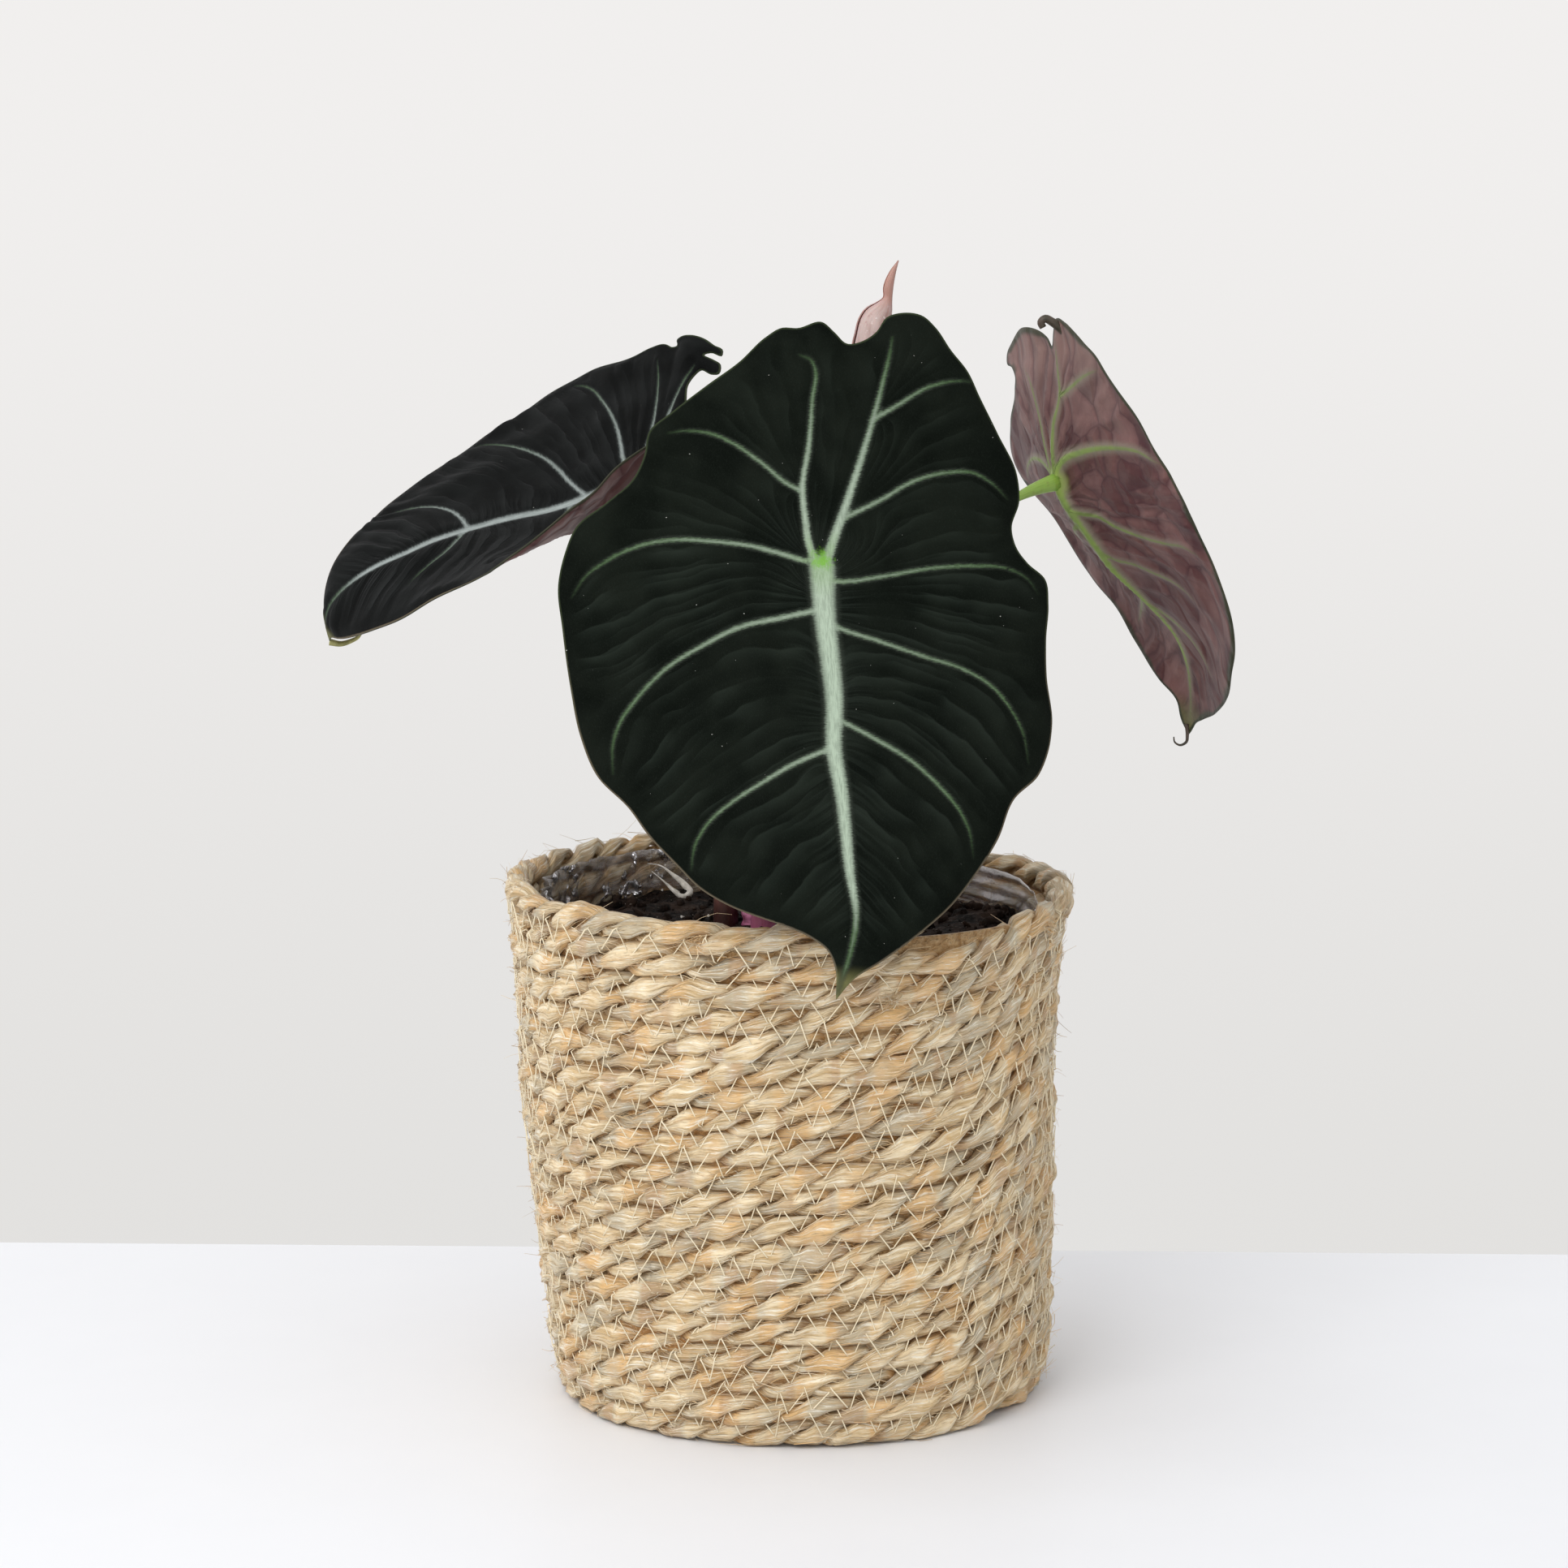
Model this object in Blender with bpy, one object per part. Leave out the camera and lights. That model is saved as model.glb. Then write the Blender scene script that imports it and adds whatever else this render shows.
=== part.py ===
"""A small house plant, alocasia black velvet, in a lined basket of coiled jute rope.

Metres, +Z up. The origin is the middle of the basket's flat base. -Y is the side that the largest
leaf faces. Each leaf is a thin closed solid: a flat outline, drawn about the point where the stem
joins it, is bent along its midrib, folded about it and curled across it.
"""

import math
import random

import bpy
import numpy as np
from mathutils import Vector
from mathutils.geometry import delaunay_2d_cdt

MM = 0.001
GAP = 0.3 * MM

# Basket of coiled rope
BASKET_HEIGHT = 120 * MM
ROW_COUNT = 20
ROW_PITCH = BASKET_HEIGHT / ROW_COUNT
ROPE_BULGE = 1.5 * MM
# angles, from the bottom of a row's bulge to its top, at which the wall is drawn (degrees)
ROPE_ANGLES = (-30, 30, 90)
WALL = 5.0 * MM
BASE_THICKNESS = 5.0 * MM
BASE_RADIUS = 52 * MM
BASE_ROUNDING = 2.6 * MM
BASE_ROUNDING_HEIGHT = 0.8 * MM
CORNER = 4 * MM
BASKET_SIDES = 36
RIM_LEAN = 1.4 * MM
# outer radius and sideways shift of the wall at heights from the base to the rim
WALL_HEIGHTS = (0, 8 * MM, 20 * MM, 60 * MM, 105 * MM, BASKET_HEIGHT)
WALL_RADII = (55 * MM, 57 * MM, 57.8 * MM, 60.4 * MM, 62.6 * MM, 65 * MM)
WALL_SHIFTS = (0, -0.2 * MM, -0.8 * MM, -2.8 * MM, -3.4 * MM, -2.6 * MM)

# heights at which the inside of the wall, the film and the side of the soil are drawn
INNER_HEIGHTS = (2 * BASE_THICKNESS, 30 * MM, 60 * MM, 90 * MM)

# Clear film that lines the basket
LINER_THICKNESS = 0.6 * MM
LINER_TOP = 115 * MM

# Potting soil
SOIL_TOP = 105 * MM
SOIL_BUMP = 1.0 * MM
SOIL_RINGS = 7

# Root stock and stems
CROWN = Vector((-8 * MM, 2 * MM, SOIL_TOP))
CROWN_RADIUS = 6.0 * MM
STEM_DEPTH = 7 * MM
CROWN_HEIGHTS = (-STEM_DEPTH, 0, 3 * MM, 5 * MM, 7 * MM, 9.5 * MM, 12 * MM, 15 * MM)
CROWN_RADII = (5.2 * MM, 5.8 * MM, 5.4 * MM, 5.9 * MM, 5.2 * MM, 5.6 * MM, 4.6 * MM, 2.6 * MM)
CROWN_SIDES = 20
STEM_SIDES = 10
STEM_RINGS = 16
# radii of a leaf's stem at shares of its length, and of the new leaf's stem at its two ends
STEM_SHARES = (0, 0.3, 1)
STEM_RADII = (2.7 * MM, 2.0 * MM, 1.5 * MM)
ROLLED_STEM_RADII = (2.7 * MM, 2.2 * MM)
STEM_LEAN_GAP = 0.9 * MM
# a stem stands upright to this height above the soil, and ends straight for this length
STEM_UPRIGHT = 6 * MM
STEM_STRAIGHT_END = 5 * MM
HOLE_GAP = 1.4 * GAP
HOLE_SIDES = 20

# Leaves
LEAF_THICKNESS = 0.8 * MM
LEAF_SPACING = 6.2 * MM
EDGE_SPACING = 4.4 * MM
# points of the flat blade keep this share of the spacing from its edge and its midrib
CLEARANCE = 0.5
# places along the midrib where its bends are given, as shares of the length from stem to tip;
# the back lobes lie at negative shares
STATIONS = (-0.5, 0.0, 0.33, 0.67, 1.0)

# Each leaf: where its stem joins it (mm), the direction of its tip, the way its upper face looks,
# its length from stem to tip (mm), and at each station the midrib's bend down and to the side,
# the rise of the left and of the right half (degrees), and each half's curl up (radians per length).
# outline is the flat blade's edge (mm) across and along it, with the stem point at 0, 0; it runs
# anticlockwise seen from above, from the notch between the back lobes.
LEAVES = {
    "leaf_front": {
        "stem_point": (3.9, -48.0, 195.2), "tip_way": (0.070, -0.341, -0.937),
        "face_way": (0.0, -0.940, 0.342), "length": 96.0,
        "bend": (6, 0, 1, 4, 9), "sideways": (0, 0, 0, -3, -10),
        "rise_left": (6, 4, 3, 2, 2), "rise_right": (-2, -8, -10, -8, -4),
        "curl_left": (-0.25, -0.25, -0.25, -0.25, -0.25),
        "curl_right": (-0.45, -0.45, -0.45, -0.45, -0.45),
        "outline": (
            (9.0, 47.4), (6.5, 50.0), (4.0, 52.4), (-1.5, 51.4), (-5.0, 51.6), (-8.5, 49.8),
            (-14.5, 44.8), (-22.0, 40.0), (-30.0, 34.4), (-35.0, 30.5), (-36.4, 25.4),
            (-39.0, 20.6), (-45.2, 15.6), (-52.0, 11.0), (-55.0, 5.0), (-56.7, -1.5),
            (-56.4, -11.0), (-55.5, -24.0), (-54.0, -35.0), (-51.0, -44.0), (-44.5, -52.0),
            (-40.5, -58.6), (-35.0, -65.4), (-29.5, -71.5), (-23.5, -75.3), (-16.0, -78.2),
            (-10.4, -80.0), (-5.5, -82.2), (-2.2, -84.6), (-0.5, -88.0), (0.3, -94.7),
            (3.5, -90.3), (9.0, -86.3), (17.2, -80.0), (24.2, -74.0), (30.3, -67.0),
            (35.0, -60.6), (39.0, -52.6), (45.5, -47.2), (48.4, -42.0), (49.6, -36.5),
            (49.1, -26.0), (49.6, -18.0), (50.7, -10.0), (50.3, -4.5), (46.4, -0.8),
            (43.9, 2.8), (43.1, 6.5), (45.2, 12.5), (45.0, 18.0), (41.0, 27.0), (37.4, 35.0),
            (35.2, 40.0), (31.5, 45.0), (28.5, 50.0), (26.0, 52.6), (21.0, 53.5), (18.2, 52.8),
            (15.5, 49.6), (12.4, 47.8),
        ),
    },
    "leaf_left": {
        "stem_point": (-38.2, 17.3, 208.1), "tip_way": (-0.861, -0.042, -0.507),
        "face_way": (-0.376, -0.619, 0.690), "length": 89.3,
        "bend": (30, 0, -19, -8, 78), "sideways": (34, 0, -5, 2, -9),
        "rise_left": (3, -7, -8, -14, 1), "rise_right": (25, 17, 15, 6, -9),
        "curl_left": (-1.08, -0.21, -0.56, -0.92, -1.27),
        "curl_right": (1.56, 1.68, 1.33, 0.97, 0.62),
        "outline": (
            (0.0, 16.0), (-5.0, 21.5), (-9.3, 27.0), (-4.6, 31.5), (-5.0, 36.4), (-10.2, 38.0),
            (-17.0, 37.8), (-23.0, 34.2), (-29.0, 31.2), (-34.0, 27.6), (-42.1, 17.3),
            (-48.8, 7.0), (-52.0, -4.9), (-51.6, -14.0), (-48.6, -23.5), (-44.5, -32.5),
            (-38.5, -43.0), (-31.0, -53.5), (-22.5, -63.5), (-14.0, -73.0), (-7.0, -80.2),
            (-2.6, -85.2), (0.0, -89.3), (3.6, -84.8), (9.0, -80.4), (17.0, -73.2),
            (26.8, -65.2), (36.6, -55.4), (45.5, -44.7), (50.5, -32.0), (52.7, -18.0),
            (52.7, -4.5), (50.5, 7.0), (45.0, 17.0), (38.0, 26.0), (29.0, 32.0), (20.0, 35.0),
            (13.0, 33.5), (7.0, 29.0), (3.0, 22.5),
        ),
    },
    "leaf_right": {
        "stem_point": (58.7, 21.5, 206.0), "tip_way": (0.249, 0.057, -0.967),
        "face_way": (0.901, 0.352, 0.253), "length": 76.6,
        "bend": (19, 0, -35, -19, 22), "sideways": (-3, 0, 1, 13, 23),
        "rise_left": (-5, 17, 18, 0, -13), "rise_right": (-1, 14, 16, 0, -20),
        "curl_left": (0.10, -0.34, -0.48, -0.63, -0.78),
        "curl_right": (0.34, -0.08, -0.17, -0.27, -0.36),
        "outline": (
            (-3.4, 31.0), (-4.6, 34.0), (-6.3, 36.8), (-12.5, 36.2), (-17.0, 34.2),
            (-22.0, 31.2), (-26.8, 28.3), (-30.0, 24.0), (-33.8, 19.4), (-38.0, 14.0),
            (-40.8, 7.0), (-42.8, 0.5), (-43.8, -6.5), (-42.9, -13.8), (-41.2, -22.0),
            (-40.3, -30.0), (-39.9, -37.0), (-38.0, -42.0), (-34.4, -46.4), (-30.4, -51.0),
            (-24.9, -56.1), (-15.1, -63.7), (-6.4, -69.4), (-1.9, -72.9), (0.0, -76.6),
            (3.2, -73.4), (5.2, -69.6), (11.4, -66.0), (16.1, -63.0), (21.1, -58.6),
            (25.8, -53.4), (30.3, -48.5), (36.9, -43.5), (42.5, -38.0), (46.0, -31.0),
            (47.4, -23.0), (47.2, -14.0), (47.6, -5.0), (47.4, 2.0), (44.7, 7.1), (39.1, 12.1),
            (32.7, 16.7), (26.0, 21.0), (22.9, 24.3), (25.0, 26.4), (29.4, 27.6), (28.1, 29.6),
            (23.8, 32.4), (18.8, 34.6), (13.3, 35.8), (5.0, 35.0), (0.0, 33.0),
        ),
    },
}

# Route of each stem from the crown to its leaf (mm): points between its foot and the stem point
STEM_ROUTES = {
    "leaf_front": ((-8.5, -8.0, 128), (-4.0, -17.0, 165), (2.0, -30.0, 189)),
    "leaf_left": ((-19.0, 6.0, 130), (-25.0, 14.0, 165), (-30.0, 26.0, 194)),
    "leaf_right": ((2.0, 6.0, 130), (14.0, 12.0, 165), (33.0, 15.0, 191)),
}
# angle round the crown, in degrees, at which each stem leaves the soil
STEM_ANGLES = {"leaf_front": 265, "leaf_left": 170, "leaf_right": 25, "leaf_rolled": 95}

# The new leaf, still rolled: its stem's route, then the roll's axis and radii up to its tip (mm)
ROLLED_STEM_ROUTE = ((-5.5, 10.0, 125), (-1.0, 7.0, 145), (5.0, -1.0, 165))
ROLLED_STEM_END = (7.6, -6.0, 181)
ROLL_AXIS = (
    (8.4, -7.0, 184.0), (11.4, -8.0, 199.0), (14.4, -8.0, 214.0), (16.2, -8.0, 228.0),
    (16.8, -8.0, 239.5), (17.2, -8.0, 244.2), (17.9, -8.0, 247.4), (18.9, -8.0, 250.2),
    (19.2, -8.0, 253.3), (21.0, -8.0, 257.6),
)
ROLL_RADII = (2.4, 3.8, 4.9, 5.3, 4.9, 4.6, 2.9, 1.1, 1.1, 0.6)
ROLL_SMALLEST_RADIUS = 0.5 * MM
ROLL_SIDES = 14
# shading turns sharp where two faces meet at more than this angle (degrees)
SHARP_ANGLE = 50

COLOURS = {
    "jute": ((0.62, 0.46, 0.28), 0.9),
    "film": ((0.75, 0.76, 0.74), 0.2),
    "soil": ((0.03, 0.022, 0.016), 0.95),
    "blade": ((0.012, 0.030, 0.018), 0.6),
    "green_stem": ((0.28, 0.42, 0.07), 0.5),
    "pink_stem": ((0.55, 0.30, 0.25), 0.55),
    "root_stock": ((0.42, 0.26, 0.20), 0.7),
}


def clear_scene():
    for thing in list(bpy.data.objects):
        bpy.data.objects.remove(thing)


def material(name):
    colour, roughness = COLOURS[name]
    made = bpy.data.materials.get(name)
    if made is None:
        made = bpy.data.materials.new(name)
        made.use_nodes = True
        shader = made.node_tree.nodes["Principled BSDF"]
        shader.inputs["Base Color"].default_value = (*colour, 1)
        shader.inputs["Roughness"].default_value = roughness
        shader.inputs["Metallic"].default_value = 0
    return made


def add_object(name, points, faces, material_name):
    mesh = bpy.data.meshes.new(name)
    mesh.from_pydata([tuple(p) for p in points], [], faces)
    mesh.materials.append(material(material_name))
    mesh.shade_smooth()
    mesh.set_sharp_from_angle(angle=math.radians(SHARP_ANGLE))
    made = bpy.data.objects.new(name, mesh)
    bpy.context.scene.collection.objects.link(made)
    return made


def curve_through(places, values, at):
    """Smooth curve through values given at places, run on straight past both ends."""
    places, values, at = (np.asarray(a, float) for a in (places, values, at))
    slopes = np.gradient(values, places)
    i = np.clip(np.searchsorted(places, at) - 1, 0, len(places) - 2)
    span = places[i + 1] - places[i]
    x = (at - places[i]) / span
    c = np.clip(x, 0, 1)
    inside = (
        (2 * c**3 - 3 * c**2 + 1) * values[i]
        + (c**3 - 2 * c**2 + c) * span * slopes[i]
        + (3 * c**2 - 2 * c**3) * values[i + 1]
        + (c**3 - c**2) * span * slopes[i + 1]
    )
    past = np.minimum(x, 0) * slopes[i] + np.maximum(x - 1, 0) * slopes[i + 1]
    return inside + past * span


def unit(v):
    return v / np.linalg.norm(v, axis=-1, keepdims=True)


class Blade:
    """The middle surface of a leaf: (across, along) in its flat outline to a place in space."""

    def __init__(self, leaf):
        self.stem_point = np.array(leaf["stem_point"]) * MM
        self.length = leaf["length"] * MM
        self.tip_way = unit(np.array(leaf["tip_way"]))
        face = np.array(leaf["face_way"])
        self.face_way = unit(face - self.tip_way * (face @ self.tip_way))
        self.right_way = np.cross(self.face_way, self.tip_way)
        self.leaf = leaf
        self.steps = np.linspace(-0.7, 1.1, 181)
        ways = self.midrib_way(self.steps)
        travel = (ways[1:] + ways[:-1]) / 2 * (self.steps[1] - self.steps[0]) * self.length
        points = np.vstack([np.zeros(3), np.cumsum(travel, axis=0)])
        start = np.array([np.interp(0, self.steps, points[:, k]) for k in range(3)])
        self.midrib = points - start + self.stem_point

    def angle(self, name, at):
        return curve_through(STATIONS, np.radians(self.leaf[name]), at)

    def midrib_way(self, at):
        bend, sideways = self.angle("bend", at), self.angle("sideways", at)
        return (
            (np.cos(bend) * np.cos(sideways))[..., None] * self.tip_way
            - np.sin(bend)[..., None] * self.face_way
            + (np.cos(bend) * np.sin(sideways))[..., None] * self.right_way
        )

    def places(self, across, along):
        at = -along / self.length
        ridge = np.stack([np.interp(at, self.steps, self.midrib[:, k]) for k in range(3)], -1)
        way = self.midrib_way(at)
        side = unit(np.cross(np.broadcast_to(self.face_way, way.shape), way))
        up = np.cross(way, side)
        right = across > 0
        rise = np.where(right, self.angle("rise_right", at), self.angle("rise_left", at))
        curl = np.where(
            right,
            curve_through(STATIONS, self.leaf["curl_right"], at),
            curve_through(STATIONS, self.leaf["curl_left"], at),
        )
        curl = np.where(np.abs(curl) < 0.001, 0.001, curl) / self.length
        reach = np.abs(across)
        out = (np.sin(rise + curl * reach) - np.sin(rise)) / curl
        high = (np.cos(rise) - np.cos(rise + curl * reach)) / curl
        return ridge + side * (out * np.sign(across))[..., None] + up * high[..., None]

    def under_way(self):
        """The way that the under face looks at the stem point."""
        near = 3 * MM
        left, right, front, back = self.places(
            np.array((-near, near, 0, 0)), np.array((0, 0, -near, near))
        )
        return -unit(np.cross(front - back, right - left))


def spaced_along(outline, spacing):
    """The closed outline's corners, with points added so that no side is much over spacing."""
    points = []
    for start, end in zip(outline, np.roll(outline, -1, axis=0)):
        pieces = max(1, round(np.linalg.norm(end - start) / spacing))
        points += [start + (end - start) * i / pieces for i in range(pieces)]
    return np.array(points)


def distance_to_outline(point, outline):
    ends = np.roll(outline, -1, axis=0)
    sides = ends - outline
    share = np.clip(((point - outline) * sides).sum(1) / (sides**2).sum(1), 0, 1)
    return np.linalg.norm(point - outline - sides * share[:, None], axis=1).min()


def flat_triangles(outline, spacing):
    """Points and triangles that fill the outline, with a line of points along the midrib."""
    low, high = outline.min(0), outline.max(0)
    row_height = spacing * math.sqrt(3) / 2
    clearance = CLEARANCE * spacing
    ridge = [np.array((0, y)) for y in np.arange(low[1] + 2 * spacing, high[1], spacing)]
    inner = [point for point in ridge if distance_to_outline(point, outline) > clearance]
    rows = int((high[1] - low[1]) / row_height) + 1
    columns = int((high[0] - low[0]) / spacing) + 2
    for row in range(rows):
        for column in range(columns):
            x = low[0] + (column - 0.5 * (row % 2)) * spacing
            point = np.array((x, low[1] + row * row_height))
            if abs(x) > clearance and distance_to_outline(point, outline) > clearance:
                inner.append(point)
    points = [Vector(p) for p in [*outline, *inner]]
    border = [list(range(len(outline)))]
    flat, _, faces, *_ = delaunay_2d_cdt(points, [], border, 1, 1e-7)
    used = sorted({i for f in faces for i in f})
    renumbered = {old: new for new, old in enumerate(used)}
    faces = [[renumbered[i] for i in f] for f in faces]
    return np.array([tuple(flat[i]) for i in used]), faces


def border_of(faces):
    """Directed edges that only one face uses."""
    edges = {(f[i], f[(i + 1) % len(f)]) for f in faces for i in range(len(f))}
    return [e for e in edges if (e[1], e[0]) not in edges]


def add_leaf(name, leaf):
    blade = Blade(leaf)
    outline = spaced_along(np.array(leaf["outline"]) * MM, EDGE_SPACING)
    flat, faces = flat_triangles(outline, LEAF_SPACING)
    middle = blade.places(flat[:, 0], flat[:, 1])
    normals = np.zeros_like(middle)
    for face in faces:
        a, b, c = middle[face]
        normals[face] += np.cross(b - a, c - a)
    normals = unit(normals) * LEAF_THICKNESS / 2
    count = len(middle)
    under = [[i + count for i in reversed(f)] for f in faces]
    rim = []
    for a, b in border_of(faces):
        rim += [(b, a, a + count), (b, a + count, b + count)]
    add_object(name, np.vstack([middle + normals, middle - normals]), faces + under + rim, "blade")
    return blade


def route(points, count):
    """Evenly spaced points on a smooth curve through the given points."""
    points = np.array([tuple(p) for p in points])
    steps = np.linalg.norm(np.diff(points, axis=0), axis=1)
    places = np.concatenate([[0], np.cumsum(steps)])
    at = np.linspace(0, places[-1], count)
    return np.stack([curve_through(places, points[:, k], at) for k in range(3)], 1)


def ring_faces(rings, sides):
    """Faces that close a stack of rings, from the first ring's flat end to the last one's."""
    faces = [list(range(sides - 1, -1, -1))]
    for ring in range(rings - 1):
        for i in range(sides):
            a, b = ring * sides + i, ring * sides + (i + 1) % sides
            faces.append([a, b, b + sides, a + sides])
    faces.append([(rings - 1) * sides + i for i in range(sides)])
    return faces


def add_tube(name, path, radii, sides, material_name):
    """Round solid along the path; its last ring is square to the path's end."""
    path = np.asarray(path)
    ways = unit(np.gradient(path, axis=0))
    side = unit(np.cross(ways[0], (0.3, 1, 0.1)))
    points = []
    for centre, way, radius in zip(path, ways, radii):
        side = unit(side - way * (side @ way))
        other = np.cross(way, side)
        for i in range(sides):
            turn = 2 * math.pi * i / sides
            points.append(centre + radius * (math.cos(turn) * side + math.sin(turn) * other))
    return add_object(name, points, ring_faces(len(path), sides), material_name)


def stem_foot(angle, depth):
    """Centre of a stem at a depth below the soil; it leans on the crown."""
    turn = math.radians(angle)
    out = CROWN_RADIUS + STEM_RADII[0] + STEM_LEAN_GAP
    return CROWN + Vector((math.cos(turn) * out, math.sin(turn) * out, -depth))


def stem_start(angle):
    """The stretch of a stem in and just above the soil, which stands upright in its hole."""
    return [stem_foot(angle, STEM_DEPTH), stem_foot(angle, 0), stem_foot(angle, -STEM_UPRIGHT)]


def add_stems(blades):
    for name, blade in blades.items():
        under = blade.under_way()
        seat = blade.stem_point + under * (LEAF_THICKNESS / 2 + 2 * GAP)
        middle = [Vector(p) * MM for p in STEM_ROUTES[name]]
        ends = [Vector(seat + under * STEM_STRAIGHT_END), Vector(seat)]
        path = route(stem_start(STEM_ANGLES[name]) + middle + ends, STEM_RINGS)
        radii = np.interp(np.linspace(0, 1, STEM_RINGS), STEM_SHARES, STEM_RADII)
        add_tube(name.replace("leaf", "stem"), path, radii, STEM_SIDES, "green_stem")
    middle = [Vector(p) * MM for p in ROLLED_STEM_ROUTE]
    path = route(stem_start(STEM_ANGLES["leaf_rolled"]) + middle + [Vector(ROLLED_STEM_END) * MM],
                 STEM_RINGS)
    radii = np.linspace(*ROLLED_STEM_RADII, STEM_RINGS)
    add_tube("stem_rolled", path, radii, STEM_SIDES, "pink_stem")


def add_rolled_leaf():
    axis = np.array(ROLL_AXIS) * MM
    stem_end = np.array(ROLLED_STEM_END) * MM
    axis[0] = stem_end + unit(axis[0] - stem_end) * 1.4 * GAP
    places = np.linspace(0, 1, len(axis))
    at = np.linspace(0, 1, 2 * len(axis) - 1)
    path = np.stack([curve_through(places, axis[:, k], at) for k in range(3)], 1)
    radii = curve_through(places, np.array(ROLL_RADII) * MM, at)
    radii = np.maximum(radii, ROLL_SMALLEST_RADIUS)
    add_tube("leaf_rolled", path, radii, ROLL_SIDES, "pink_stem")


def wall_shift(height):
    return float(curve_through(WALL_HEIGHTS, WALL_SHIFTS, height))


def wall_radius(height):
    return float(curve_through(WALL_HEIGHTS, WALL_RADII, height))


def inner_radius(height):
    return wall_radius(height) - WALL


def basket_ring(radius, height):
    """Level circle, moved sideways with the wall and leaning down to +X as the rows do."""
    ring = []
    for i in range(BASKET_SIDES):
        turn = 2 * math.pi * i / BASKET_SIDES
        x, y = radius * math.cos(turn), radius * math.sin(turn)
        lean = -RIM_LEAN * x / wall_radius(BASKET_HEIGHT) * max(0, height) / BASKET_HEIGHT
        ring.append((x + wall_shift(height), y, height + lean))
    return ring


def add_stack(name, rings, material_name):
    points = [p for ring in rings for p in ring]
    return add_object(name, points, ring_faces(len(rings), BASKET_SIDES), material_name)


def add_basket():
    """Rows of rope one on another, each a bulge in the wall, round a flat base."""
    rings = [
        basket_ring(BASE_RADIUS, 0),
        basket_ring(BASE_RADIUS + BASE_ROUNDING, BASE_ROUNDING_HEIGHT),
    ]
    for row in range(ROW_COUNT):
        for turn in ROPE_ANGLES:
            height = (row + 0.5 + math.sin(math.radians(turn)) / 2) * ROW_PITCH
            bulge = ROPE_BULGE * math.cos(math.radians(turn))
            rings.append(basket_ring(wall_radius(height) - ROPE_BULGE + bulge, height))
    rings.pop()
    rings.append(basket_ring(wall_radius(BASKET_HEIGHT) - WALL / 2, BASKET_HEIGHT))
    rim = BASKET_HEIGHT - ROW_PITCH / 4
    for height in (rim, rim - ROW_PITCH / 2, *reversed(INNER_HEIGHTS)):
        rings.append(basket_ring(inner_radius(height), height))
    rings.append(basket_ring(inner_radius(BASE_THICKNESS) - CORNER, BASE_THICKNESS))
    add_stack("basket", rings, "jute")


def add_liner():
    """Bag of film just inside the wall, open at the top."""
    outside = [basket_ring(inner_radius(BASE_THICKNESS) - CORNER - 3 * GAP, BASE_THICKNESS + GAP)]
    floor = BASE_THICKNESS + GAP + LINER_THICKNESS
    inside = [basket_ring(inner_radius(floor) - CORNER - 3 * GAP - LINER_THICKNESS, floor)]
    for height in (*INNER_HEIGHTS, LINER_TOP):
        outer = inner_radius(height) - 2 * GAP
        outside.append(basket_ring(outer, height))
        inside.append(basket_ring(outer - LINER_THICKNESS, height))
    add_stack("liner", outside + inside[::-1], "film")


def soil_radius(height):
    return inner_radius(height) - 2 * GAP - LINER_THICKNESS - 2 * GAP


def add_hole(target, centre, radius):
    """Plain round hole, just deeper than STEM_DEPTH, for a stem or the root stock to stand in."""
    bpy.ops.mesh.primitive_cylinder_add(
        vertices=HOLE_SIDES, radius=radius, depth=4 * STEM_DEPTH,
        location=(centre.x, centre.y, CROWN.z - STEM_DEPTH - GAP + 2 * STEM_DEPTH),
    )
    cutter = bpy.context.object
    cutter.name = f"cutter_{len(target.modifiers)}"
    cutter.hide_render = True
    cutter.display_type = "WIRE"
    cut = target.modifiers.new("hole", "BOOLEAN")
    cut.operation = "DIFFERENCE"
    cut.object = cutter


def add_soil():
    rng = random.Random(7)
    floor = BASE_THICKNESS + 2 * GAP + LINER_THICKNESS
    rings = [basket_ring(soil_radius(floor) - CORNER - GAP, floor)]
    for height in (*INNER_HEIGHTS, SOIL_TOP):
        rings.append(basket_ring(soil_radius(height), height))
    for step in range(1, SOIL_RINGS):
        level = basket_ring(soil_radius(SOIL_TOP) * (1 - step / SOIL_RINGS), SOIL_TOP)
        rings.append([(x, y, SOIL_TOP + rng.uniform(-SOIL_BUMP, SOIL_BUMP)) for x, y, _ in level])
    soil = add_stack("soil", rings, "soil")
    for angle in STEM_ANGLES.values():
        add_hole(soil, stem_foot(angle, 0), STEM_RADII[0] + HOLE_GAP)
    add_hole(soil, CROWN, CROWN_RADIUS + GAP)


def add_root_stock():
    path = [CROWN + Vector((0, 0, height)) for height in CROWN_HEIGHTS]
    add_tube("root_stock", path, CROWN_RADII, CROWN_SIDES, "root_stock")


def build():
    clear_scene()
    add_basket()
    add_liner()
    add_soil()
    add_root_stock()
    blades = {name: add_leaf(name, leaf) for name, leaf in LEAVES.items()}
    add_stems(blades)
    add_rolled_leaf()


build()
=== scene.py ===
"""The looks of a small alocasia black velvet in a lined basket of coiled jute rope.

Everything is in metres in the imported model's frame: +Z is up, the origin is the middle of the
basket's flat base, and -Y is the side that the largest leaf faces. Tables of points are in
millimetres. The pieces follow the same forms as the solids that they replace.
"""

import itertools
import math

import bmesh
import bpy
import numpy as np
from mathutils import Matrix, Vector, kdtree
from mathutils.geometry import delaunay_2d_cdt


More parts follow.
